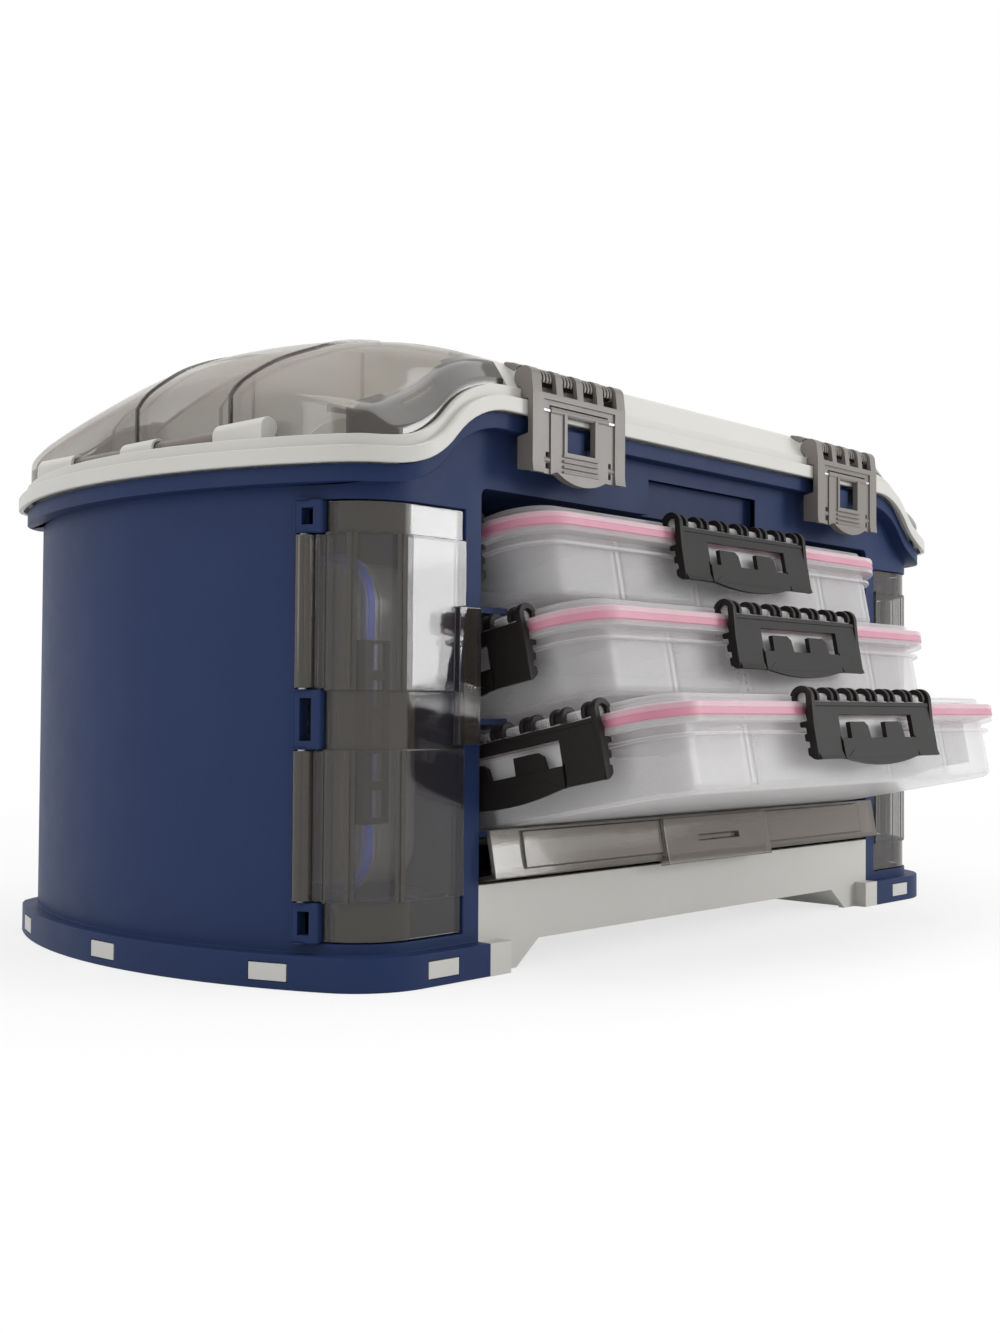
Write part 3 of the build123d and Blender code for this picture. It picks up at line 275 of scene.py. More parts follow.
# A merged copy of a CAD node, its flat faces whole again
def copyOfNode(node, name):
    piece = nodes[node].copy()
    piece.data = nodes[node].data.copy()
    piece.parent = None
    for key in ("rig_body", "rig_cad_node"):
        del piece[key]
    piece.name = name
    scene.collection.objects.link(piece)
    selectOnly(piece)
    bpy.ops.mesh.customdata_custom_splitnormals_clear()
    bpy.ops.object.mode_set(mode="EDIT")
    bpy.ops.mesh.select_all(action="SELECT")
    bpy.ops.mesh.remove_doubles(threshold=0.00001)
    bpy.ops.mesh.dissolve_limited(angle_limit=radians(0.3))
    done()
    return piece


def paint(piece, *finishes):
    piece.data.materials.clear()
    for item in finishes:
        piece.data.materials.append(item)
    return piece


# The second finish goes on the faces that are wanted
def tint(piece, wanted):
    for face in piece.data.polygons:
        face.material_index = 1 if wanted(face) else 0
    return piece


# True for faces narrower than this, which are a clear sheet's edges
def narrow(piece, width):
    def isNarrow(face):
        corners = [piece.data.vertices[i].co for i in face.vertices]
        around = sum((a - b).length for a, b in zip(corners, corners[1:] + corners[:1]))
        return 2 * face.area / around < width
    return isNarrow


def mount(piece, body, slot, *stoodFor, angle=35):
    selectOnly(piece)
    bpy.ops.object.shade_smooth_by_angle(angle=radians(angle))
    useModifier(piece, "WEIGHTED_NORMAL", weight=60, keep_sharp=True)
    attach(piece, body)
    if stoodFor:
        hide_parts(*stoodFor)
    return piece


# Finishes

class Socket:
    def __init__(self, finish, socket):
        self.finish = finish
        self.socket = socket

    def math(self, operation, first, second):
        return self.finish.node("ShaderNodeMath", {"operation": operation}, {0: first, 1: second})

    def __add__(self, other):
        return self.math("ADD", self, other)

    def __sub__(self, other):
        return self.math("SUBTRACT", self, other)

    def __rsub__(self, other):
        return self.math("SUBTRACT", other, self)

    def __mul__(self, other):
        return self.math("MULTIPLY", self, other)

    def __pow__(self, other):
        return self.math("POWER", self, other)

    __radd__ = __add__
    __rmul__ = __mul__


class Finish:
    def __init__(self, holder):
        self.holder = holder
        holder.use_nodes = True
        self.tree = holder.node_tree
        self.tree.nodes.clear()

    def node(self, kind, settings={}, inputs={}, output=0):
        made = self.tree.nodes.new(kind)
        for name, value in settings.items():
            setattr(made, name, value)
        for name, value in inputs.items():
            if isinstance(value, Socket):
                self.tree.links.new(value.socket, made.inputs[name])
            else:
                made.inputs[name].default_value = value
        return Socket(self, made.outputs[output]) if made.outputs else None

    def place(self):
        return self.node("ShaderNodeTexCoord", output="Object")

    # Noise with grains of about this size in metres
    def noise(self, size, detail=2, rough=0.5):
        return self.node(
            "ShaderNodeTexNoise", {},
            {"Vector": self.place(), "Scale": 1 / size, "Detail": detail, "Roughness": rough})

    def mix(self, share, first, second):
        return self.node(
            "ShaderNodeMix", {"data_type": "RGBA"}, {0: share, 6: (*first, 1), 7: (*second, 1)}, output=2)

    def bump(self, height, depth):
        return self.node("ShaderNodeBump", {}, {"Height": height, "Distance": depth})

    # 0 where the surface is seen square on, 1 where it is seen edge on
    def facing(self):
        return self.node("ShaderNodeLayerWeight", {}, {"Blend": 0.5}, output="Facing")

    # 1 for rays that should see a plain white background
    def whiteRays(self):
        camera = self.node("ShaderNodeLightPath", output="Is Camera Ray")
        glossy = self.node("ShaderNodeLightPath", output="Is Glossy Ray")
        through = self.node("ShaderNodeLightPath", output="Is Transmission Ray")
        return camera.math("MAXIMUM", camera.math("MAXIMUM", camera, glossy), through)

    def shade(self, sockets):
        shader = self.node("ShaderNodeBsdfPrincipled", {}, sockets)
        self.node("ShaderNodeOutputMaterial", {}, {"Surface": shader})
        return self.holder


def newFinish(name):
    return Finish(bpy.data.materials.new(name))


mouldedPlastics = {
    "bluePlastic": {
        "color": (0.0175, 0.033, 0.094), "shift": (0.014, 0.027, 0.080), "grain": 0.0007, "depth": 0.00007,
        "rough": 0.50, "specular": 0.12},
    "whitePlastic": {
        "color": (0.54, 0.535, 0.507), "shift": (0.50, 0.495, 0.468), "grain": 0.0006, "depth": 0.00002,
        "rough": 0.42, "specular": 0.35},
    "taupePlastic": {
        "color": (0.18, 0.164, 0.151), "shift": (0.150, 0.136, 0.125), "grain": 0.0005, "depth": 0.00003,
        "rough": 0.34, "specular": 0.35},
    "charcoalPlastic": {
        "color": (0.014, 0.0125, 0.0118), "shift": (0.010, 0.009, 0.0085), "grain": 0.0006,
        "depth": 0.00003, "rough": 0.40, "specular": 0.13},
}


def mouldedPlastic(name):
    look = mouldedPlastics[name]
    finish = newFinish(name)
    cloud = finish.noise(0.06, detail=3)
    grain = finish.noise(look["grain"], detail=1)
    smudge = finish.noise(0.02, detail=4, rough=0.6)
    return finish.shade({
        "Base Color": finish.mix(cloud, look["color"], look["shift"]),
        "Roughness": look["rough"] + (smudge - 0.5) * 0.14,
        "Normal": finish.bump(grain, look["depth"]),
        "Specular IOR Level": look["specular"],
    })


# A clear sheet lets most of what is behind it through, so its gloss comes from a high index
clearPlastics = {
    "domeSmoke": {
        "color": (0.26, 0.215, 0.155), "dense": 0.18, "edgeOn": 0.74, "turn": 2.6,
        "rough": 0.05, "index": 2.3},
    "doorSmoke": {
        "color": (0.060, 0.051, 0.043), "dense": 0.24, "edgeOn": 0.80, "turn": 3.0,
        "rough": 0.03, "index": 2.2},
    "coverSmoke": {
        "color": (0.275, 0.240, 0.203), "dense": 0.46, "edgeOn": 0.85, "turn": 3.0,
        "rough": 0.08, "index": 1.6},
    "smokeEdge": {
        "color": (0.050, 0.043, 0.035), "dense": 0.82, "edgeOn": 0.95, "turn": 2.0,
        "rough": 0.08, "index": 1.6},
    "trayClear": {
        "color": (0.86, 0.85, 0.86), "dense": 0.235, "edgeOn": 0.78, "turn": 2.4,
        "rough": 0.20, "index": 1.5},
    "trayEdge": {
        "color": (0.88, 0.87, 0.865), "dense": 0.66, "edgeOn": 0.95, "turn": 2.0,
        "rough": 0.22, "index": 1.5},
    "boxClear": {
        "color": (0.62, 0.61, 0.60), "dense": 0.16, "edgeOn": 0.70, "turn": 2.2,
        "rough": 0.14, "index": 1.7},
    "boxEdge": {
        "color": (0.62, 0.61, 0.60), "dense": 0.50, "edgeOn": 0.90, "turn": 2.0,
        "rough": 0.12, "index": 1.7},
}


def clearPlastic(name):
    look = clearPlastics[name]
    finish = newFinish(name)
    cloud = finish.noise(0.03, detail=3)
    wave = finish.noise(0.02, detail=1)
    alpha = look["dense"] + (look["edgeOn"] - look["dense"]) * finish.facing() ** look["turn"]
    shade = [channel * 0.86 for channel in look["color"]]
    return finish.shade({
        "Base Color": finish.mix(cloud, look["color"], shade),
        "Roughness": look["rough"] + cloud * 0.04,
        "Alpha": alpha,
        "Normal": finish.bump(wave, 0.00015),
        "IOR": look["index"],
    })


sealRubbers = {
    "pinkSeal": {"color": (0.44, 0.13, 0.20), "shift": (0.56, 0.28, 0.36), "rough": 0.38},
    "blueSeal": {"color": (0.04, 0.08, 0.50), "shift": (0.06, 0.11, 0.60), "rough": 0.38},
}


def sealRubber(name):
    look = sealRubbers[name]
    finish = newFinish(name)
    cloud = finish.noise(0.035)
    return finish.shade({
        "Base Color": finish.mix(cloud, look["color"], look["shift"]),
        "Roughness": look["rough"] + cloud * 0.1,
        "Normal": finish.bump(finish.noise(0.0009), 0.00004),
    })


def steelWire():
    finish = newFinish("steelWire")
    scratch = finish.noise(0.0011, detail=4, rough=0.7)
    return finish.shade({
        "Base Color": finish.mix(scratch, (0.55, 0.55, 0.56), (0.46, 0.46, 0.47)),
        "Roughness": 0.28 + scratch * 0.12,
        "Metallic": 1.0,
    })


blue, white = mouldedPlastic("bluePlastic"), mouldedPlastic("whitePlastic")
taupe, charcoal = mouldedPlastic("taupePlastic"), mouldedPlastic("charcoalPlastic")
domeSmoke, doorSmoke = clearPlastic("domeSmoke"), clearPlastic("doorSmoke")
coverSmoke, smokeEdge = clearPlastic("coverSmoke"), clearPlastic("smokeEdge")
trayClear, trayEdge = clearPlastic("trayClear"), clearPlastic("trayEdge")
boxClear, boxEdge = clearPlastic("boxClear"), clearPlastic("boxEdge")
pink, sealBlue = sealRubber("pinkSeal"), sealRubber("blueSeal")
steel = steelWire()

finishOfSlot = {
    "blue_plastic": blue, "white_plastic": white, "smoke_clear": doorSmoke, "tray_clear": trayClear,
    "charcoal_latch": charcoal, "taupe_latch": taupe, "pink_seal": pink, "blue_seal": sealBlue,
    "steel_pin": steel}
for part in frame["record"]["subparts"]:
    paint(nodes[part["node"]], finishOfSlot[part["material_slot"]])
print("finishes made")


# Camera, light and floor

view = {
    "place": (-0.72520, -0.61465, 0.13128), "lens": 40.43,
    "right": (0.68023572, -0.73295837, 0.00716846),
    "up": (-0.02486771, -0.01330266, 0.99960224),
    "back": (-0.73257147, -0.68014342, -0.02727595)}
lamps = {
    "top": {"place": (-0.1, -0.2, 1.9), "aim": (0, 0, 0.1), "size": (2.2, 1.8), "power": 23},
    "front": {"place": (1.35, -1.75, 0.95), "aim": (0, -0.05, 0.18), "size": (1.3, 1.1), "power": 10},
    "card": {
        "place": (0.90, -1.25, 0.405), "aim": (-0.235, -0.10, 0.405), "size": (0.34, 0.50), "power": 5.4},
    "end": {"place": (-2.1, 0.55, 0.9), "aim": (-0.2, 0.05, 0.12), "size": (1.0, 1.5), "power": 9.5},
}
world = {"ambient": 0.60, "floor": 0.86, "near": 0.70, "fadeStart": 0.45, "fadeEnd": 1.3}


def placeCamera():
    data = bpy.data.cameras.new("camera")
    data.lens = view["lens"]
    data.sensor_width = 36
    camera = bpy.data.objects.new("camera", data)
    turn = Matrix((view["right"], view["up"], view["back"])).transposed()
    camera.matrix_world = Matrix.Translation(view["place"]) @ turn.to_4x4()
    scene.collection.objects.link(camera)
    scene.camera = camera


def hangLamps():
    for name, lamp in lamps.items():
        data = bpy.data.lights.new(name, "AREA")
        data.shape = "RECTANGLE"
        data.size, data.size_y = lamp["size"]
        data.energy = lamp["power"]
        light = bpy.data.objects.new(name, data)
        light.location = lamp["place"]
        beam = Vector(lamp["aim"]) - Vector(lamp["place"])
        light.rotation_euler = beam.to_track_quat("-Z", "Y").to_euler()
        scene.collection.objects.link(light)


def makeWorld():
    scene.world = bpy.data.worlds.new("studio")
    sky = Finish(scene.world)
    white = sky.whiteRays()
    strength = white * (1 - world["ambient"]) + world["ambient"]
    background = sky.node("ShaderNodeBackground", {}, {"Color": (1, 1, 1, 1), "Strength": strength})
    sky.node("ShaderNodeOutputWorld", {}, {"Surface": background})


# The floor is white to the camera, but for the shadow near the case, which fades with distance
def layFloor():
    bpy.ops.object.select_all(action="DESELECT")
    bpy.ops.mesh.primitive_plane_add(size=24, location=(0, 0, 0))
    floor = bpy.context.object
    floor.name = "floor"
    finish = newFinish("paleFloor")
    away = finish.node("ShaderNodeVectorMath", {"operation": "LENGTH"}, {0: finish.place()}, output="Value")
    lift = finish.node(
        "ShaderNodeMapRange", {"interpolation_type": "SMOOTHSTEP"},
        {"Value": away, "From Min": world["fadeStart"], "From Max": world["fadeEnd"],
         "To Min": world["near"], "To Max": 1.0})
    diffuse = finish.node("ShaderNodeBsdfDiffuse", {}, {"Color": (world["floor"],) * 3 + (1,)})
    glow = finish.node("ShaderNodeEmission", {}, {"Strength": 1.0})
    mixed = finish.node("ShaderNodeMixShader", {}, {0: finish.whiteRays() * lift, 1: diffuse, 2: glow})
    finish.node("ShaderNodeOutputMaterial", {}, {"Surface": mixed})
    paint(floor, finish.holder)


placeCamera()
hangLamps()
makeWorld()
layFloor()
scene.view_settings.view_transform = "Standard"
scene.cycles.transparent_max_bounces = 48
print("camera, lamps and floor placed")


# Domes over the ends of the lid

dome = {
    "inner": 0.1803, "end": 0.2785, "cornerWidth": 0.030, "cornerLength": 0.050, "overhang": 0.005,
    "crown": (
        (0, 0), (0.25, 0.004), (0.5, 0.011), (0.7, 0.0194), (0.85, 0.0294), (0.95, 0.038), (1, 0.045)),
    "foot": 0.291, "shoulder": 0.305, "apex": 0.3332, "shoulderDepth": 0.002, "footReach": 0.008,
    "thick": 0.0024, "gap": 0.0003, "across": 34, "along": 72, "topShare": 0.88,
    "ribs": (0.0865, 0.1675), "ribWidth": 0.0016, "ribThick": 0.0017,
    "fences": (0.100, 0.196), "fenceDrop": 0.0055, "fenceThick": 0.0030, "fenceEdge": 0.0036,
    "fenceLean": 0.004, "fenceFoot": 0.010, "fenceSteps": 14,
    "hingeX": 0.284, "hingeZ": 0.263, "rodRadius": 0.003, "rodLow": 0.055, "rodHigh": 0.244,
    "webs": ((0.088, 0.138), (0.169, 0.214)), "webThick": 0.003, "webLap": 0.002, "sheetEdge": 0.0016}


# Drop of the crown's curve below its apex, a smooth line through the crown's points
def crownDrop(share):
    points = dome["crown"]
    slopes = []
    for count in range(len(points)):
        before, after = points[max(0, count - 1)], points[min(len(points) - 1, count + 1)]
        slopes.append((after[1] - before[1]) / (after[0] - before[0]))
    for count in range(len(points) - 1):
        (s0, d0), (s1, d1) = points[count], points[count + 1]
        if share <= s1:
            run = s1 - s0
            t = (share - s0) / run
            return (
                (2 * t ** 3 - 3 * t ** 2 + 1) * d0 + (t ** 3 - 2 * t ** 2 + t) * run * slopes[count]
                + (3 * t ** 2 - 2 * t ** 3) * d1 + (t ** 3 - t ** 2) * run * slopes[count + 1])
    return points[-1][1]


def archHeight(depth):
    depth = min(depth, case["depth"] - depth)
    if depth < dome["shoulderDepth"]:
        share = (depth + dome["footReach"]) / (dome["shoulderDepth"] + dome["footReach"])
        return dome["foot"] + (dome["shoulder"] - dome["foot"]) * share
    halfChord = case["depth"] / 2 - dome["shoulderDepth"]
    rise = dome["apex"] - dome["shoulder"]
    radius = (halfChord ** 2 + rise ** 2) / (2 * rise)
    return dome["apex"] - radius + sqrt(radius ** 2 - (case["depth"] / 2 - depth) ** 2)


def domeEnd(depth):
    depth = min(depth, case["depth"] - depth)
    corner = max(0, dome["cornerLength"] - dome["overhang"] - depth) / dome["cornerLength"]
    return dome["end"] - dome["cornerWidth"] * (1 - sqrt(max(0, 1 - corner ** 2)))


# A point of the dome's outer surface: across runs from the spine over the crown and down the end
def domePoint(across, depth, skirt=False):
    end = domeEnd(depth)
    share = min(1, across / dome["topShare"])
    x = dome["inner"] + share * (end - dome["inner"])
    low = curveHeight(x) + case["lidRim"]
    height = (archHeight(depth) - dome["foot"]) / (dome["apex"] - dome["foot"])
    z = low + (dome["apex"] - crownDrop(share) - low) * height
    if skirt:
        z = low + dome["gap"]
    elif across > dome["topShare"]:
        down = (across - dome["topShare"]) / (1 - dome["topShare"])
        z += (low + dome["gap"] - z) * down
    return Vector((x, frontWall + depth, z))


# A grid laid over the dome between two depths; a skirt closes its front and back
def domeSheet(name, across, along, low, high, skirted):
    bpy.ops.object.select_all(action="DESELECT")
    bpy.ops.mesh.primitive_grid_add(x_subdivisions=across, y_subdivisions=along, size=1)
    sheet = bpy.context.object
    sheet.name = name
    for vertex in sheet.data.vertices:
        row = round((vertex.co.y + 0.5) * along)
        skirt = skirted and row in (0, along)
        if skirted:
            row = min(max(row - 1, 0), along - 2)
            share = (1 - cos(pi * row / (along - 2))) / 2
        else:
            share = row / along
        vertex.co = domePoint(vertex.co.x + 0.5, low + share * (high - low), skirt)
    pick(sheet, "FACE", lambda face: True)
    bpy.ops.mesh.remove_doubles(threshold=0.00002)
    done()
    if sum(face.normal.z * face.area for face in sheet.data.polygons) < 0:
        sheet.data.flip_normals()
    return sheet


def makeDomes():
    reach = dome["overhang"]
    shell = domeSheet("dome", dome["across"], dome["along"], -reach, case["depth"] + reach, True)
    useModifier(shell, "SOLIDIFY", thickness=dome["thick"], offset=-1)
    roundEdges(shell, 0.0005, angle=50)
    ribs = []
    for depth in dome["ribs"]:
        half = dome["ribWidth"] / 2
        rib = domeSheet("rib", dome["across"], 2, depth - half, depth + half, False)
        useModifier(rib, "SOLIDIFY", thickness=dome["ribThick"], offset=0.2)
        ribs.append(rib)
    joinAll(ribs[0], *ribs[1:])
    hinge = [rod("rod", (dome["hingeX"], frontWall + dome["rodLow"], dome["hingeZ"]),
                 (dome["hingeX"], frontWall + dome["rodHigh"], dome["hingeZ"]), dome["rodRadius"])]
    for low, high in dome["webs"]:
        web = block(
            "web", (dome["end"] - dome["webLap"], frontWall + low, dome["hingeZ"] - dome["webThick"] / 2),
            (dome["hingeX"], frontWall + high, dome["hingeZ"] + dome["webThick"] / 2))
        hinge.append(roundEdges(web, 0.0004))
    joinAll(hinge[0], *hinge[1:])
    for side, matrix in sides.items():
        body = f"window_{side}"
        sheet = copyOf(shell, f"window_{side}_dome", matrix)
        paint(sheet, domeSmoke, smokeEdge)
        tint(sheet, narrow(sheet, dome["sheetEdge"]))
        mount(sheet, body, "smoke_clear", f"window_{side}", angle=50)
        for source, name in ((ribs[0], "ribs"), (hinge[0], "hinge_rod")):
            piece = copyOf(source, f"window_{side}_{name}", matrix)
            paint(piece, smokeEdge if name == "ribs" else coverSmoke)
            mount(piece, body, "smoke_clear")
    for spare in (shell, ribs[0], hinge[0]):
        bpy.data.objects.remove(spare)


# Clear fences that part the space over the bins
def makeFences():
    fences = []
    steps = dome["fenceSteps"]
    foot = case["rimLow"] + dome["fenceFoot"]
    for depth in dome["fences"]:
        top = [domePoint(dome["topShare"] * step / steps, depth) for step in range(steps + 1)]
        outline = [(p.x - dome["fenceLean"] * step / steps, p.z - dome["fenceDrop"])
                   for step, p in enumerate(top)]
        outline += [(outline[-1][0], foot), (outline[0][0], foot)]
        fence = prism("fence", outline, "y", frontWall + depth - dome["fenceThick"] / 2,
                      frontWall + depth + dome["fenceThick"] / 2)
        fences.append(fence)
    joinAll(fences[0], *fences[1:])
    for side, matrix in sides.items():
        piece = copyOf(fences[0], f"bin_fences_{side}", matrix)
        paint(piece, boxClear, smokeEdge)
        tint(piece, narrow(piece, dome["fenceEdge"]))
        mount(piece, "lid", "smoke_clear")
    bpy.data.objects.remove(fences[0])


makeDomes()
makeFences()
print("domes made")


# Case walls, base and lid: the moulded shapes with the roundings that their tools leave

shells = {
    "collarRound": 0.0026, "footRound": 0.0020, "lipRound": 0.0024, "bandRound": 0.0022, "edge": 0.0006,
    "openingHalf": 0.190, "openingTop": 0.240, "openingRound": 0.004,
    "recessHalf": 0.054, "recessTop": 0.260, "recessDeep": 0.0062, "liner": 0.0015,
    "belowCollar": 0.230, "baseRound": 0.0009, "gripRound": 0.0016}


def atRise(edge, stand, rise, slack=0.0006):
    return all(
        abs(standOff(v.co) - stand) < 0.0012 and abs(v.co.z - curveHeight(v.co.x) - rise) < slack
        for v in edge.verts)


def makeCaseWalls():
    walls = copyOfNode("body_shell", "case_walls")
    low, top, deep = shells["openingTop"], shells["recessTop"], shells["recessDeep"]
    half, liner = shells["recessHalf"], shells["liner"]
    cut(walls, block("recess", (-half, frontWall - 0.01, low - 0.005), (half, frontWall + 0.01, top)))
    pocket = block("pocket", (-half - liner, frontWall + 0.001, low),
                   (half + liner, frontWall + deep + liner, top + liner))
    cut(pocket, block("room", (-half, frontWall - 0.01, low - 0.005), (half, frontWall + deep, top)))
    roundPicked(walls, shells["openingRound"], 5, lambda edge: abs(edgeLine(edge).y) > 0.9 and all(
        abs(abs(v.co.x) - shells["openingHalf"]) < 0.0004 and abs(v.co.z - low) < 0.0004
        for v in edge.verts))
    roundPicked(
        walls, shells["collarRound"], 4,
        lambda edge: atRise(edge, case["collarStand"], -case["collarDrop"]))
    roundPicked(walls, shells["footRound"], 3, lambda edge: all(
        abs(v.co.z - case["footHigh"]) < 0.0002 and standOff(v.co) > case["footStand"] - 0.001
        for v in edge.verts))
    for low, high in door["lugs"]:
        for matrix in sides.values():
            room = hingeBlock(
                "room", -0.02, 0.02, door["barrelRoom"] - door["roomWidth"], door["barrelRoom"],
                low + door["roomEnd"], high - door["roomEnd"])
            room.data.transform(matrix)
            if matrix.determinant() < 0:
                room.data.flip_normals()
            cut(walls, room)
    roundWide(walls, shells["edge"], lambda edge: all(v.co.z < shells["belowCollar"] for v in edge.verts))
    joinAll(walls, pocket)
    paint(walls, blue)
    mount(walls, "case", "blue_plastic", "body_shell")


# The deck under the lid, which stands back from the recess
def makeDeck():
    deck = copyOfNode("top_deck", "deck_plate")
    spare = shells["liner"] + 0.0005
    half = shells["recessHalf"] + spare
    cut(deck, block("room", (-half, frontWall, shells["openingTop"] - 0.005),
                    (half, frontWall + shells["recessDeep"] + spare, shells["openingTop"] + 0.01)))
    # Painted shade: the white deck is given the dark blue finish so that it looks as dark as the shade under
    # the lid
    paint(deck, blue)
    mount(deck, "case", "blue_plastic", "top_deck")


def makeBase():
    base = copyOfNode("base_pan", "base_moulding")
    roundEdges(base, shells["baseRound"], segments=3)
    paint(base, white)
    mount(base, "case", "white_plastic", "base_pan")


def makeLidMoulding():
    lid = copyOfNode("lid_frame", "lid_moulding")
    for stand, rise in ((case["lipStand"], case["lidLip"]), (case["lipStand"], 0.0004)):
        roundPicked(lid, shells["lipRound"], 4, lambda edge: atRise(edge, stand, rise))
    roundPicked(lid, shells["bandRound"], 4, lambda edge: atRise(edge, case["bandStand"], case["lidRim"]))
    roundWide(lid, shells["edge"])
    paint(lid, white)
    mount(lid, "lid", "white_plastic", "lid_frame")


def makeHandle():
    handle = copyOfNode("handle", "carry_grip")
    roundEdges(handle, shells["gripRound"], segments=3)
    paint(handle, taupe)
    mount(handle, "handle", "taupe_latch", "handle")


# Side doors and the lugs that they turn in

door = {
    "hingeDepth": 0.034, "hingeStand": 0.0015, "raised": ((0.0398, 0.111), (0.1386, 0.2126)),
    "lugs": ((0.021, 0.040), (0.111, 0.139), (0.212, 0.228)),
    "knuckles": ((0.0406, 0.1104), (0.1396, 0.2114)), "rise": 0.0012, "round": 0.0004, "edge": 0.201,
    "lugBack": 0.0046, "lugFront": 0.0100, "lugOut": 0.0038, "lugIn": 0.0045, "lugRound": 0.0009,
    "slotBack": 0.0004, "slotFront": 0.0056, "slotEnd": 0.0040, "gap": 0.0007, "pinRadius": 0.0020,
    "stub": 0.0032, "barrelRoom": 0.0048, "roomWidth": 0.0014, "roomEnd": 0.0005, "lugRoom": 0.004,
    "sheetEdge": 0.0022, "coverRound": 0.0005, "coverEdge": 0.0016}
hingeAngle = asin((door["hingeDepth"] - case["depth"] / 2) / case["endRadius"])


# A block laid against the end wall at the right door's hinge: out from the wall, on along it, and up
def hingeBlock(name, outLow, outHigh, backward, forward, low, high):
    piece = block(name, (outLow, -forward, low), (outHigh, backward, high))
    reach = case["endRadius"]
    spot = (case["endCenter"] + reach * cos(hingeAngle), middle + reach * sin(hingeAngle), 0)
    piece.data.transform(Matrix.Translation(spot) @ Matrix.Rotation(hingeAngle, 4, "Z"))
    return piece


def hingeSpot(height):
    reach = case["endRadius"] + door["hingeStand"]
    return case["endCenter"] + reach * cos(hingeAngle), middle + reach * sin(hingeAngle), height


def makeLugs():
    lugs, rods = [], []
    for low, high in door["lugs"]:
        lug = hingeBlock(
            "lug", -door["lugIn"], door["lugOut"], door["lugBack"], door["lugFront"], low, high)
        roundEdges(lug, door["lugRound"], segments=3)
        cut(lug, hingeBlock("slot", -0.01, 0.01, door["slotBack"], door["slotFront"],
                            low + door["slotEnd"], high - door["slotEnd"]))
        lugs.append(lug)
    joinAll(lugs[0], *lugs[1:])
    for low, high in door["knuckles"]:
        rods.append(rod(
            "pin", hingeSpot(low - door["stub"]), hingeSpot(high + door["stub"]), door["pinRadius"]))
    joinAll(rods[0], *rods[1:])
    for side, matrix in sides.items():
        piece = copyOf(lugs[0], f"door_lugs_{side}", matrix)
        paint(piece, blue)
        mount(piece, "case", "blue_plastic")
        pins = copyOf(rods[0], f"door_pins_{side}", matrix)
        paint(pins, steel)
        mount(pins, "case", "steel_pin", f"side_door_pin_{side}")
    for spare in (lugs[0], rods[0]):
        bpy.data.objects.remove(spare)


def makeDoors():
    # Faces of the outer side, which is raised between the hinge and the door's edge
    def onPanel(face):
        center = face.calc_center_median()
        away = Vector((center.x - 0.15, center.y - frontWall - 0.15, 0))
        return (standOff(center) > -0.0007 and abs(face.normal.z) < 0.3 and center.y < frontWall + 0.030
                and face.normal.dot(away) > 0
                and any(low < center.z < high for low, high in door["raised"]))
    panel = copyOfNode("side_door_right", "door")
    for low, high in door["lugs"]:
        cut(panel, hingeBlock(
            "room", -0.006, 0.01, door["lugBack"] + door["lugRoom"], door["lugFront"] + door["gap"],
            low - door["gap"], high + door["gap"]))
    pick(panel, "FACE", onPanel)
    bpy.ops.mesh.extrude_region_shrink_fatten(
        TRANSFORM_OT_shrink_fatten={"value": door["rise"], "use_even_offset": True})
    done()
    roundWide(panel, door["round"])
    for side, matrix in sides.items():
        piece = copyOf(panel, f"side_door_{side}_panel", matrix)
        paint(piece, doorSmoke, smokeEdge)
        isNarrow = narrow(piece, door["sheetEdge"])
        tint(piece, lambda face: isNarrow(face) or abs(face.center.x) < door["edge"])
        mount(piece, f"side_door_{side}", "smoke_clear", f"side_door_{side}")
    bpy.data.objects.remove(panel)


def makeCover():
    cover = copyOfNode("front_cover", "front_cover_panel")
    roundWide(cover, door["coverRound"])
    paint(cover, coverSmoke, smokeEdge)
    tint(cover, narrow(cover, door["coverEdge"]))
    mount(cover, "front_cover", "smoke_clear", "front_cover")


makeCaseWalls()
makeDeck()
makeBase()
makeLidMoulding()
makeHandle()
print("case walls, base, lid and handle shaped")
makeLugs()
makeDoors()
makeCover()
print("doors and cover made")


# Front latches, drawn about the middle of the case and then set in their places

frontLatch = {
    "center": 0.135, "half": 0.037, "face": -0.0178, "thick": 0.0026, "low": 0.2490, "brow": 0.2890,
    "axis": (-0.0103, 0.2973), "topRadius": 0.0053, "cheek": 0.0030, "cheekBack": -0.0075,
    "cheekHigh": 0.2670, "rimFront": -0.0146, "bandFront": -0.0104,
    "slots": (-0.0244, -0.0081, 0.0081, 0.0244), "slotWidth": 0.0112, "slotLow": 0.2895,
    "recessHalf": 0.0285, "recessHigh": 0.2865,
    "recessDeep": 0.0010, "openHalf": 0.0234, "openHigh": 0.2839, "corner": 0.0022, "notchLow": 0.2515,
    "notchHigh": 0.2600, "ringRadius": 0.0049, "ringThick": 0.0012, "bore": 0.0029,
    "rings": (-0.0038, -0.0013, 0.0013, 0.0038), "backingIn": 0.0032, "backingOut": 0.0038,
    "backing": (0.2834, 0.2866), "stud": (0.0225, 0.0290), "studIn": 0.0022, "studZ": 0.2560,
    "studRadius": 0.0017, "sleeveHalf": 0.0300,
    "hood": ((-0.0086, 0.3032), (-0.0040, 0.3052), (0.0022, 0.3066), (0.0034, 0.3056), (0.0012, 0.3036),
             (-0.0048, 0.3004), (-0.0058, 0.3016)),
    "striker": ((-0.0095, 0.0095), (-0.0130, -0.0060), (0.2600, 0.2745))}
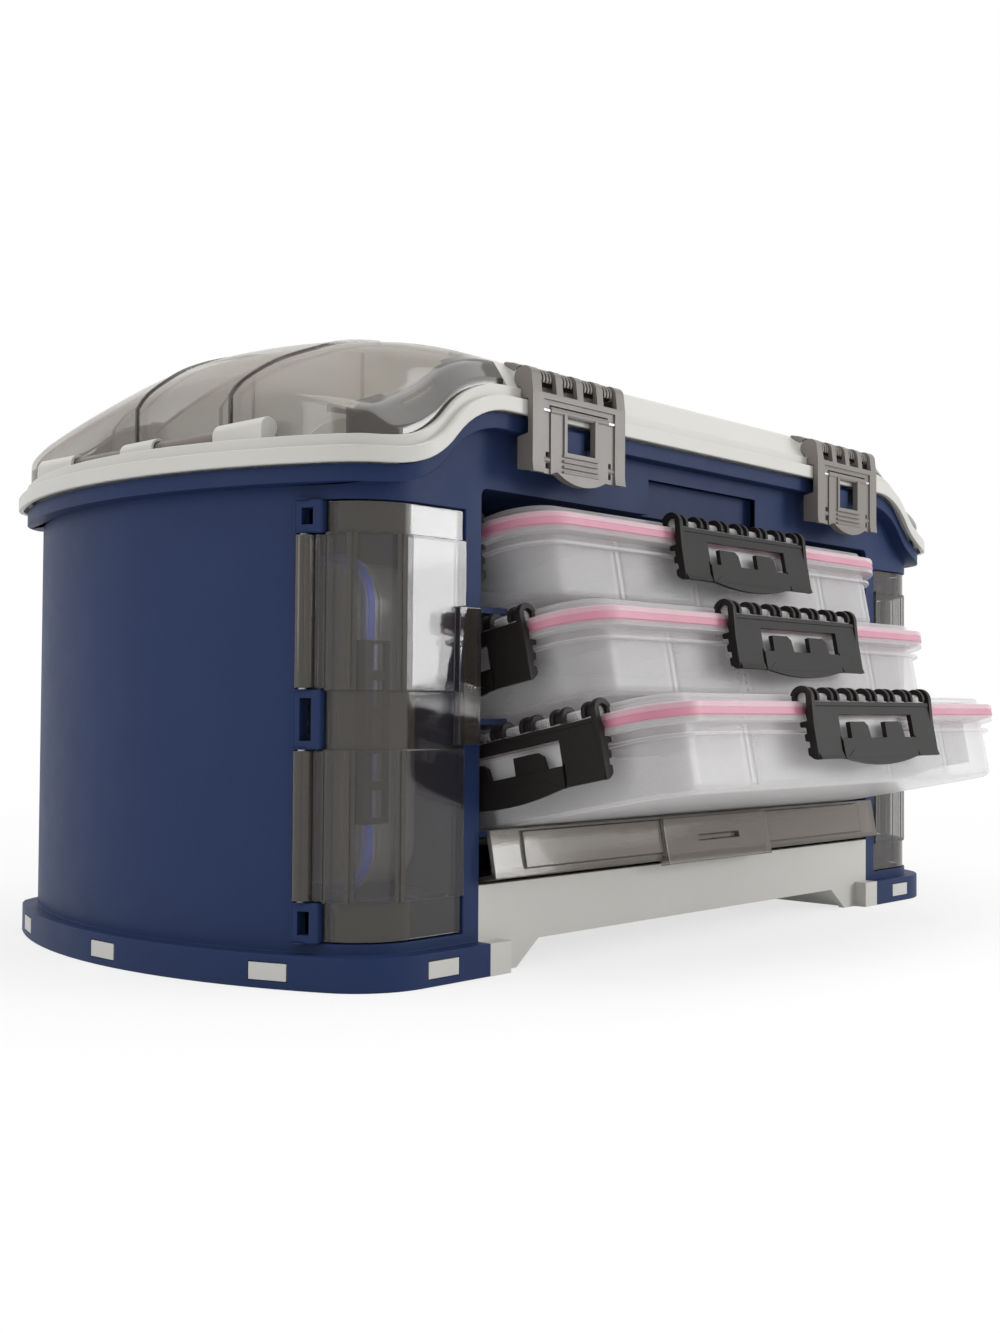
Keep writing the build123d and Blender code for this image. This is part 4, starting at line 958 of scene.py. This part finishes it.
lever = {
    "half": 0.0230, "face": -0.0176, "thick": 0.0026, "high": 0.2840, "low": 0.2490, "axisZ": 0.281,
    "windowHalf": 0.0112, "windowLow": 0.2610, "windowHigh": 0.2795, "border": 0.0022,
    "borderRise": 0.0009, "ribs": (0.2508, 0.2536, 0.2564, 0.2592), "ribHalf": 0.0140, "ribRise": 0.0011,
    "ribThick": 0.0014, "lipHalf": 0.0205, "lipDrop": 0.0055, "lipOut": 0.0024, "headIn": 0.0019,
    "headRadius": 0.0024}


# Front plate and curved top of a latch, seen from its side
def latchProfile(look, inset):
    face, brow = look["face"] + inset, look["brow"]
    axisY, axisZ = look["axis"]
    radius = look["topRadius"] - inset
    return ([(face - 0.0006, look["low"]), (face, look["low"] + 0.005), (face, brow)]
            + arc((axisY - 0.0012, axisZ), radius, 168, 82, 8))


def fromFront(outline):
    return [(frontWall + depth, z) for depth, z in outline]


def makeLatchFrame():
    look = frontLatch
    half = look["half"]
    outer, inner = latchProfile(look, 0), latchProfile(look, look["thick"])
    surround = prism("latch", fromFront(outer + inner[::-1]), "x", -half, half)
    axisY, axisZ = look["axis"]
    cheekOutline = outer + arc(look["axis"], look["topRadius"], 60, -80, 10) + [
        (look["bandFront"], 0.2915), (look["bandFront"], 0.2862), (look["rimFront"], 0.2858),
        (look["rimFront"], 0.2684), (look["cheekBack"], look["cheekHigh"]), (look["cheekBack"], 0.2508)]
    for side in (-1, 1):
        low, high = sorted((side * half, side * (half - look["cheek"])))
        fuse(surround, prism("cheek", fromFront(cheekOutline), "x", low, high))
    roundPicked(surround, look["corner"], 4, lambda edge: all(
        abs(abs(v.co.x) - half) < 0.0001 and v.co.y < frontWall + look["axis"][0] + 0.001
        and (v.co.y < frontWall + look["face"] + 0.001 or v.co.z > look["brow"] + 0.0005)
        for v in edge.verts) and abs(edgeLine(edge).x) < 0.1)
    y = frontWall + look["face"]
    cut(surround,
        block("recess", (-look["recessHalf"], y - 0.01, look["low"] - 0.01),
              (look["recessHalf"], y + look["recessDeep"], look["recessHigh"])),
        block("open", (-look["openHalf"], y - 0.01, look["low"] - 0.01),
              (look["openHalf"], y + 0.01, look["openHigh"])))
    for x in look["slots"]:
        cut(surround, block("slot", (x - look["slotWidth"] / 2, y - 0.01, look["slotLow"]),
                         (x + look["slotWidth"] / 2, y + 0.02, 0.32)))
    for side in (-1, 1):
        low, high = sorted((side * (look["openHalf"] - 0.0005), side * (look["openHalf"] + 0.0028)))
        cut(surround, block("notch", (low, y - 0.01, look["notchLow"]), (high, y + 0.01, look["notchHigh"])))
    roundEdges(surround, 0.0005)
    brace = block("brace", (-half + 0.002, y + look["thick"] - 0.0004, look["slotLow"] - 0.0035),
                  (half - 0.002, y + look["thick"] + 0.0012, look["slotLow"] - 0.0005))
    backLow, backHigh = look["backing"]
    backing = block("backing", (-look["openHalf"], y + look["backingIn"], backLow),
                    (look["openHalf"], y + look["backingOut"], backHigh))
    studs = []
    for side in (-1, 1):
        start, end = ((side * x, y + look["studIn"], look["studZ"]) for x in look["stud"])
        studs.append(rod("stud", start, end, look["studRadius"]))
    return joinAll(surround, brace, backing, *studs)


def makeLever():
    look = lever
    y = frontWall + look["face"]
    plate = block("lever", (-look["half"], y, look["low"]),
                  (look["half"], y + look["thick"], look["high"] - 0.0012))
    headY = y + look["headIn"]
    fuse(plate, rod("head", (-look["half"], headY, look["axisZ"]), (look["half"], headY, look["axisZ"]),
                    look["headRadius"]))
    chord = look["lipHalf"]
    radius = (chord ** 2 + look["lipDrop"] ** 2) / (2 * look["lipDrop"])
    centerZ = look["low"] + 0.0008 + radius - look["lipDrop"]
    spread = asin(chord / radius) * 180 / pi
    lip = prism("lip", arc((0, centerZ), radius, 270 - spread, 270 + spread, 18), "y",
                y - look["lipOut"], y + look["thick"] - 0.0005)
    fuse(plate, lip)
    cut(plate, block("window", (-look["windowHalf"], y - 0.01, look["windowLow"]),
                     (look["windowHalf"], y + 0.01, look["windowHigh"])))
    bars = [plate]
    wide = look["windowHalf"] + look["border"]
    border = block("border", (-wide, y - look["borderRise"], look["windowLow"] - look["border"]),
                   (wide, y + 0.001, look["windowHigh"] + 0.0008))
    cut(border, block("hole", (-look["windowHalf"], y - 0.01, look["windowLow"]),
                      (look["windowHalf"], y + 0.01, look["windowHigh"] + 0.01)))
    fuse(plate, border)
    roundEdges(plate, 0.0004)
    for z in look["ribs"]:
        bar = block("bar", (-look["ribHalf"], y - look["ribRise"], z - look["ribThick"] / 2),
                    (look["ribHalf"], y + 0.0005, z + look["ribThick"] / 2))
        bars.append(roundEdges(bar, 0.0004))
    return joinAll(*bars)


# What the lid carries behind a latch: a hood that ends its top, thin rings and the dark rod between them
def makeLatchSeat():
    look = frontLatch
    axisY, axisZ = look["axis"]
    hood = prism("hood", fromFront(look["hood"]), "x", -look["half"] + 0.0004, look["half"] - 0.0004)
    roundPicked(hood, 0.002, 4, lambda edge: all(
        abs(abs(v.co.x) - look["half"]) < 0.001 and v.co.z > 0.3030 for v in edge.verts)
        and abs(edgeLine(edge).x) < 0.1)
    roundEdges(hood, 0.0004)
    rings = [hood]
    for x in look["slots"]:
        for shift in look["rings"]:
            outline = arc(look["axis"], look["ringRadius"], 205, -10, 14)
            outline += arc(look["axis"], look["bore"], -10, 205, 12)
            half = look["ringThick"] / 2
            rings.append(prism("ring", fromFront(outline), "x", x + shift - half, x + shift + half))
    joinAll(*rings)
    reach = look["sleeveHalf"]
    sleeve = rod("sleeve", (-reach, frontWall + axisY, axisZ), (reach, frontWall + axisY, axisZ),
                 look["bore"] + 0.0001)
    return hood, sleeve


def makeFrontLatches():
    surround, plate = makeLatchFrame(), makeLever()
    seat, sleeve = makeLatchSeat()
    (left, right), (out, inward), (low, high) = frontLatch["striker"]
    striker = block("striker", (left, frontWall + out, low), (right, frontWall + inward, high))
    roundEdges(striker, 0.0012, segments=3)
    pieces = (
        (surround, "frame", "latch", taupe, "taupe_latch", "latch_frame"),
        (plate, "plate", "lever", taupe, "taupe_latch", "latch_lever"),
        (seat, "seat", None, taupe, "taupe_latch", None),
        (sleeve, "sleeve", None, charcoal, "charcoal_latch", None),
        (striker, "striker", "case", blue, "blue_plastic", None))
    for side, sign in (("left", -1), ("right", 1)):
        place = Matrix.Translation((sign * frontLatch["center"], 0, 0))
        for source, name, body, color, slot, node in pieces:
            piece = copyOf(source, f"front_latch_{side}_{name}", place)
            paint(piece, color)
            if body is None:
                body = "lid"
            elif body != "case":
                body = f"{body}_{side}"
            mount(piece, body, slot, *([f"{node}_{side}"] if node else []))
    for source, *_ in pieces:
        bpy.data.objects.remove(source)


makeFrontLatches()
print("front latches made")


# Boxes, drawn level at the origin: the trays are then laid at their tilt, and the end boxes on their sides

tray = {
    "halfLength": 0.174, "depth": 0.230, "corner": 0.025, "draft": 0.002, "wall": 0.0022, "height": 0.0365,
    "flange": 0.007, "flangeLow": 0.0332, "ridge": 0.0034, "ridgeLow": 0.0272, "ridgeHigh": 0.0288,
    "foot": 0.0045, "gasketHigh": 0.0397, "lidFlangeHigh": 0.0429, "lidHigh": 0.0480, "overhang": 0.006,
    "panelInset": 0.010, "dividers": 4, "partition": 0.0018, "ribWidth": 0.0018, "ribGap": 0.0016,
    "ribReach": 0.0022, "sealLow": 0.0362, "sealHigh": 0.0427, "sealOut": 0.0056, "sealIn": -0.0015,
    "rodStand": 0.0065, "rodHeight": 0.0443, "rodRadius": 0.0028, "rodHalf": 0.0624, "sideLatch": 0.093,
    "ledge": ((-0.0405, -0.0046, 0.0212), (0.0405, 0.0026, 0.0345))}
endBox = {
    "halfLength": 0.115, "depth": 0.166, "corner": 0.025, "draft": 0.003, "wall": 0.0020, "height": 0.0336,
    "flange": 0.003, "flangeLow": 0.0306, "ridge": 0.0014, "ridgeLow": 0.0266, "ridgeHigh": 0.0278,
    "foot": 0.0045, "gasketHigh": 0.0360, "lidFlangeHigh": 0.0390, "lidHigh": 0.0440, "overhang": 0,
    "panelInset": 0.005, "dividers": 3, "partition": 0, "ribWidth": 0.0012, "ribGap": 0.0018,
    "ribReach": 0.0013, "sealLow": 0.0326, "sealHigh": 0.0368, "sealOut": 0.0003, "sealIn": -0.0042,
    "inner": 0.206, "shelf": 0.0397, "front": 0.024}


def trayMatrix(level):
    low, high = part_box(f"tray_{level}_gasket")
    reach = 0.004
    y = low.y + reach * cos(tilt) - tray["height"] * sin(tilt)
    z = high.z - reach * sin(tilt) - tray["gasketHigh"] * cos(tilt)
    return Matrix.Translation((0, y, z)) @ Matrix.Rotation(-tilt, 4, "X")


# An end box stands on its long side, its lid towards the end of the case
def endBoxMatrix():
    place = (endBox["inner"], frontWall + endBox["front"] + endBox["halfLength"], endBox["shelf"])
    return Matrix.Translation(place) @ Matrix(((0, 0, 1, 0), (1, 0, 0, 0), (0, 1, 0, 0), (0, 0, 0, 1)))


# A rounded slab on the box's outline
def slabOn(plan, name, grow, low, high):
    half = plan["halfLength"] + grow
    slab = block(name, (-half, -grow, low), (half, plan["depth"] + grow, high))
    roundPicked(slab, plan["corner"] + grow, 10, lambda edge: abs(edgeLine(edge).z) > 0.9)
    return slab


def sliceThrough(piece, place, across):
    pick(piece, "FACE", lambda face: True)
    bpy.ops.mesh.bisect(plane_co=place, plane_no=across)
    done()


# True for faces of the outer wall, which look away from the box's middle
def outside(plan, center, normal):
    away = Vector((center.x, center.y - plan["depth"] / 2, 0))
    return abs(normal.z) < 0.3 and normal.dot(away) > 0


def swellBand(plan, piece, low, high, reach):
    def inBand(face):
        center = face.calc_center_median()
        return outside(plan, center, face.normal) and low < center.z < high
    pick(piece, "FACE", inBand)
    bpy.ops.mesh.extrude_region_shrink_fatten(
        TRANSFORM_OT_shrink_fatten={"value": reach, "use_even_offset": True})
    done()


def ribSpans(plan):
    inside = plan["halfLength"] - plan["draft"] - plan["wall"]
    pitch = 2 * inside / (plan["dividers"] + 1)
    spans = []
    for count in range(plan["dividers"]):
        x = -inside + (count + 1) * pitch
        for side in (-1, 1):
            near = x + side * plan["ribGap"]
            spans.append(sorted((near, near + side * plan["ribWidth"])))
    return spans


# Body of a box, its second finish on rims, ribs and ridge
def makeBoxBody(plan):
    body = slabOn(plan, "box_body", -plan["draft"], 0, plan["height"])
    for height in (plan["foot"], plan["ridgeLow"], plan["ridgeHigh"], plan["flangeLow"]):
        sliceThrough(body, (0, 0, height), (0, 0, 1))
    swellBand(plan, body, plan["flangeLow"], plan["height"], plan["flange"])
    swellBand(plan, body, plan["ridgeLow"], plan["ridgeHigh"], plan["ridge"])
    pick(body, "FACE", lambda face: face.normal.z > 0.9
         and face.calc_center_median().z > plan["height"] - 0.0001 and face.calc_area() > 0.02)
    bpy.ops.mesh.inset(thickness=plan["wall"])
    bpy.ops.mesh.extrude_region_move(
        TRANSFORM_OT_translate={"value": (0, 0, plan["wall"] - plan["height"])})
    done()
    roundPicked(body, 0.0042, 4, lambda edge: max(abs(v.co.z) for v in edge.verts) < 0.0001)
    addRibs(plan, body)
    if plan["partition"]:
        inside = plan["halfLength"] - plan["draft"] - plan["wall"] / 2
        middleY, halfThick = plan["depth"] / 2, plan["partition"] / 2
        fuse(body, block("partition", (-inside, middleY - halfThick, plan["wall"] / 2),
                         (inside, middleY + halfThick, plan["height"] - 0.002)))
    spans = ribSpans(plan)

    def isEdge(face):
        center, normal = face.center, face.normal
        onRib = (abs(normal.z) < 0.5 and center.z > plan["foot"]
                 and any(low - 0.0002 < center.x < high + 0.0002 for low, high in spans))
        return (center.z > plan["flangeLow"] - 0.0002 or onRib
                or (abs(normal.z) > 0.5 and 0.02 < center.z < plan["ridgeHigh"] + 0.0002))
    return tint(body, isEdge)


# Pairs of ribs inside the long walls, which the loose dividers slide between
def addRibs(plan, body):
    spans = ribSpans(plan)
    for span in spans:
        for x in span:
            sliceThrough(body, (x, 0, 0), (1, 0, 0))
    top = plan["flangeLow"] - 0.001
    sliceThrough(body, (0, 0, top), (0, 0, 1))

    def onRib(face):
        center = face.calc_center_median()
        return (abs(face.normal.y) > 0.9 and not outside(plan, center, face.normal)
                and plan["wall"] < center.z < top and any(low < center.x < high for low, high in spans))
    pick(body, "FACE", onRib)
    bpy.ops.mesh.extrude_region_shrink_fatten(TRANSFORM_OT_shrink_fatten={"value": plan["ribReach"]})
    done()


def makeBoxLid(plan):
    lid = slabOn(plan, "box_lid", plan["overhang"], plan["gasketHigh"], plan["lidFlangeHigh"])
    pick(lid, "FACE", lambda face: face.normal.z > 0.9)
    bpy.ops.mesh.inset(thickness=plan["panelInset"] - 0.002)
    bpy.ops.mesh.extrude_region_move(
        TRANSFORM_OT_translate={"value": (0, 0, plan["lidHigh"] - plan["lidFlangeHigh"])})
    bpy.ops.mesh.inset(thickness=0.0016)
    bpy.ops.mesh.inset(thickness=0.006)
    bpy.ops.mesh.extrude_region_move(TRANSFORM_OT_translate={"value": (0, 0, -0.0012)})
    done()
    pick(lid, "FACE", lambda face: face.normal.z < -0.9)
    bpy.ops.mesh.inset(thickness=plan["panelInset"] + 0.0002)
    bpy.ops.mesh.extrude_region_move(
        TRANSFORM_OT_translate={"value": (0, 0, plan["lidHigh"] - plan["gasketHigh"] - 0.0035)})
    done()
    roundEdges(lid, 0.0007)
    return tint(lid, lambda face: face.center.z > plan["lidFlangeHigh"] + 0.0003
                and outside(plan, face.center, face.normal))


def makeSeal(plan):
    seal = slabOn(plan, "box_seal", plan["sealOut"], plan["sealLow"], plan["sealHigh"])
    cut(seal, slabOn(plan, "hole", plan["sealIn"], plan["sealLow"] - 0.01, plan["sealHigh"] + 0.01))
    return roundEdges(seal, 0.0006)


# The latch of an end box: a bar down the lid's side and square loops over the seal
boxLatch = {
    "low": 0.075, "high": 0.163, "front": 0.0211, "thick": 0.0024, "inner": 0.2310, "bar": 0.2425,
    "outer": 0.2484, "barOut": 0.0012, "loops": 5, "loopWide": 0.0030, "hook": 0.0024, "round": 0.0006}


def makeBoxLatch():
    look = boxLatch
    y = frontWall + look["front"]
    plate = block("plate", (look["inner"], y, look["low"]), (look["outer"], y + look["thick"], look["high"]))
    pitch = (look["high"] - look["low"]) / look["loops"]
    for count in range(look["loops"]):
        z = look["low"] + pitch * count
        cut(plate, block("window", (look["inner"] + look["loopWide"], y - 0.01, z + look["loopWide"]),
                         (look["bar"], y + 0.01, z + pitch - look["loopWide"] / 2)))
    fuse(plate, block("bar", (look["bar"] + 0.0005, y - look["barOut"], look["low"]),
                      (look["outer"], y + 0.001, look["high"])),
         block("hook", (look["outer"] - look["hook"], y + 0.001, look["low"]),
               (look["outer"], y + look["thick"] + 0.0028, look["high"])))
    return roundEdges(plate, look["round"])


def makeEndBoxes():
    body, lid, seal, latch = makeBoxBody(endBox), makeBoxLid(endBox), makeSeal(endBox), makeBoxLatch()
    for side, mirrored in sides.items():
        for source, name, finishes, slot, node in (
                (body, "shell", (boxClear, boxEdge), "tray_clear", "body"),
                (lid, "cap", (boxClear, boxEdge), "tray_clear", "lid"),
                (seal, "seal", (sealBlue,), "blue_seal", "gasket"),
                (latch, "clip", (charcoal,), "charcoal_latch", "latch")):
            place = mirrored if name == "clip" else mirrored @ endBoxMatrix()
            piece = copyOf(source, f"end_box_{side}_{name}", place)
            paint(piece, *finishes)
            mount(piece, "case", slot, f"side_box_{side}_{node}")
    for spare in (body, lid, seal, latch):
        bpy.data.objects.remove(spare)


makeEndBoxes()
print("end boxes made")


def latchMatrices():
    reach = tray["halfLength"]
    return {
        "front": Matrix.Identity(4),
        "left": Matrix.Translation((-reach, tray["sideLatch"], 0)) @ Matrix.Rotation(-pi / 2, 4, "Z"),
        "right": Matrix.Translation((reach, tray["sideLatch"], 0)) @ Matrix.Rotation(pi / 2, 4, "Z"),
    }


# The ledges on a tray that its latches close over
def catchLedges():
    ledges = []
    for matrix in latchMatrices().values():
        ledge = block("ledge", *tray["ledge"])
        roundEdges(ledge, 0.0006)
        ledge.data.transform(matrix)
        ledges.append(ledge)
    return ledges


# The rods on the lid that the latches turn on, in front and at both ends
def latchRods():
    reach = tray["rodHalf"]
    rods = []
    for matrix in latchMatrices().values():
        bar = rod("rod", (-reach, -tray["rodStand"], tray["rodHeight"]),
                  (reach, -tray["rodStand"], tray["rodHeight"]), tray["rodRadius"])
        bar.data.transform(matrix)
        rods.append(bar)
    return rods


trayLatch = {
    "half": 0.0644, "outer": -0.0114, "inner": -0.0090, "top": 0.0415, "bottom": 0.0120, "lip": 0.0012,
    "rod": (-0.0065, 0.0443), "loopRadius": 0.0059, "bore": 0.0031, "loops": 7, "loopWidth": 0.0088,
    "windowHalf": 0.039, "windowLow": 0.0225, "windowHigh": 0.0350, "toothTop": 0.0312, "toothHalf": 0.0100,
    "toothPlace": 0.0185, "endPlate": 0.0032, "lipReach": 0.0011, "edge": 0.00045, "seam": 0.0006,
    "headRadius": 0.0064, "loopHalf": 0.0013,
    "notches": (
        (-0.0079, 0.0325), (-0.0034, 0.0322), (-0.0034, 0.0296), (-0.0066, 0.0290), (-0.0066, 0.0262),
        (-0.0050, 0.0257), (-0.0050, 0.0222), (-0.0072, 0.0216), (-0.0072, 0.0190), (-0.0055, 0.0186),
        (-0.0055, 0.0150), (-0.0080, 0.0128))}


# The window's outline: a slot with two teeth that stand up from its lower edge
def latchWindow(look):
    outline = [(-look["windowHalf"], look["windowLow"])]
    for side in (-1, 1):
        left = side * look["toothPlace"] - look["toothHalf"]
        right = side * look["toothPlace"] + look["toothHalf"]
        outline += [(left, look["windowLow"]), (left, look["toothTop"]), (right - 0.005, look["toothTop"]),
                    (right - 0.0015, look["toothTop"] - 0.0022), (right, look["windowLow"])]
    return outline + [(look["windowHalf"], look["windowLow"]), (look["windowHalf"], look["windowHigh"]),
                      (-look["windowHalf"], look["windowHigh"])]


# The side of a latch: a round head on the rod, a straight front and a notched hook below
def endPlateOutline(look):
    rodZ = look["rod"][1]
    head = arc(look["rod"], look["headRadius"], 185, 20, 12)
    tail = arc(look["rod"], look["bore"] + 0.0003, 20, 150, 8)
    return head + tail + [
        (look["inner"] + 0.0004, rodZ - 0.006), (look["inner"] + 0.0016, 0.0370), *look["notches"],
        (look["inner"] - 0.0008, look["bottom"]), (look["outer"], look["bottom"]),
        (look["outer"] - 0.0002, 0.0300)]


def makeTrayLatch():
    look = trayLatch
    plate = prism(
        "latch_plate",
        [(look["outer"], look["top"]), (look["outer"] - 0.0002, 0.030),
         (look["outer"], look["bottom"] + 0.004), (look["outer"] - look["lip"], look["bottom"]),
         (look["inner"] - look["lip"], look["bottom"]),
         (look["inner"], look["bottom"] + 0.004), (look["inner"], look["top"])],
        "x", -look["half"] + 0.001, look["half"] - 0.001)
    cut(plate, prism("window", latchWindow(look), "y", look["outer"] - 0.006, look["inner"] + 0.006))
    center = block(
        "center", (-look["windowHalf"] - 0.0005, look["outer"] - 0.0008, look["bottom"] - 0.0003),
        (look["windowHalf"] + 0.0005, look["outer"] + 0.0008, look["windowLow"] - 0.0006))
    crescent = arc((0, 0.1925), 0.1845, 258.2, 281.8, 16) + [(0.030, 0.0162), (0, 0.0178), (-0.030, 0.0162)]
    lip = prism("lip", crescent, "y", look["outer"] - look["lipReach"], look["outer"] + 0.001)
    fuse(plate, center, lip)
    for side in (-1, 1):
        seam = side * (look["windowHalf"] + 0.0009)
        cut(plate, block("seam", (seam - look["seam"], look["outer"] - 0.006, look["bottom"] - 0.002),
                         (seam + look["seam"], look["outer"] + 0.0012, look["windowLow"] + 0.001)))
    roundEdges(plate, look["edge"])
    parts = []
    pitch = 2 * (look["half"] - look["loopWidth"] / 2 - 0.0005) / (look["loops"] - 1)
    for count in range(look["loops"]):
        x = (count - (look["loops"] - 1) / 2) * pitch
        ring = arc(look["rod"], look["loopRadius"], 205, -30, 16)
        ring += arc(look["rod"], look["bore"], -30, 205, 12)
        for shift in (-1, 1):
            at = x + shift * (look["loopWidth"] / 2 - look["loopHalf"])
            loop = prism("loop", ring, "x", at - look["loopHalf"], at + look["loopHalf"])
            parts.append(roundEdges(loop, 0.0005, angle=50))
        low = arc(look["rod"], look["loopRadius"] - 0.0016, 205, -20, 14)
        low += arc(look["rod"], look["bore"], -20, 205, 12)
        half = look["loopWidth"] / 2 - 0.001
        parts.append(prism("bridge", low, "x", x - half, x + half))
    ledge = block("ledge", (-look["half"] + 0.003, look["outer"] - 0.0005, look["top"] - 0.0022),
                  (look["half"] - 0.003, look["outer"] + 0.0015, look["top"] + 0.0002))
    parts.append(roundEdges(ledge, 0.0005))
    for side in (-1, 1):
        low, high = sorted((side * look["half"], side * (look["half"] - look["endPlate"])))
        end = prism("end", endPlateOutline(look), "x", low, high)
        parts.append(roundEdges(end, 0.0004, angle=40))
    return joinAll(plate, *parts)


def makeTrays():
    body, lid, seal, latch = makeBoxBody(tray), makeBoxLid(tray), makeSeal(tray), makeTrayLatch()
    joinAll(lid, *latchRods())
    ledges = catchLedges()
    joinAll(*ledges)
    for level in ("bottom", "middle", "top"):
        place = trayMatrix(level)
        for source, name, finishes, slot, node in (
                (body, "shell", (trayClear, trayEdge), "tray_clear", "body"),
                (lid, "cap", (trayClear, trayEdge), "tray_clear", "lid"),
                (ledges[0], "ledges", (trayEdge,), "tray_clear", None),
                (seal, "seal", (pink,), "pink_seal", "gasket")):
            piece = copyOf(source, f"tray_{level}_{name}", place)
            paint(piece, *finishes)
            mount(piece, f"tray_{level}", slot, *([f"tray_{level}_{node}"] if node else []))
        for side, matrix in latchMatrices().items():
            clip = copyOf(latch, f"tray_{level}_{side}_clip", place @ matrix)
            paint(clip, charcoal)
            carrier = f"tray_{level}_catch" if side == "front" else f"tray_{level}"
            mount(clip, carrier, "charcoal_latch", f"tray_{level}_{side}_latch")
    for spare in (body, lid, seal, latch, ledges[0]):
        bpy.data.objects.remove(spare)


makeTrays()
print("trays made")
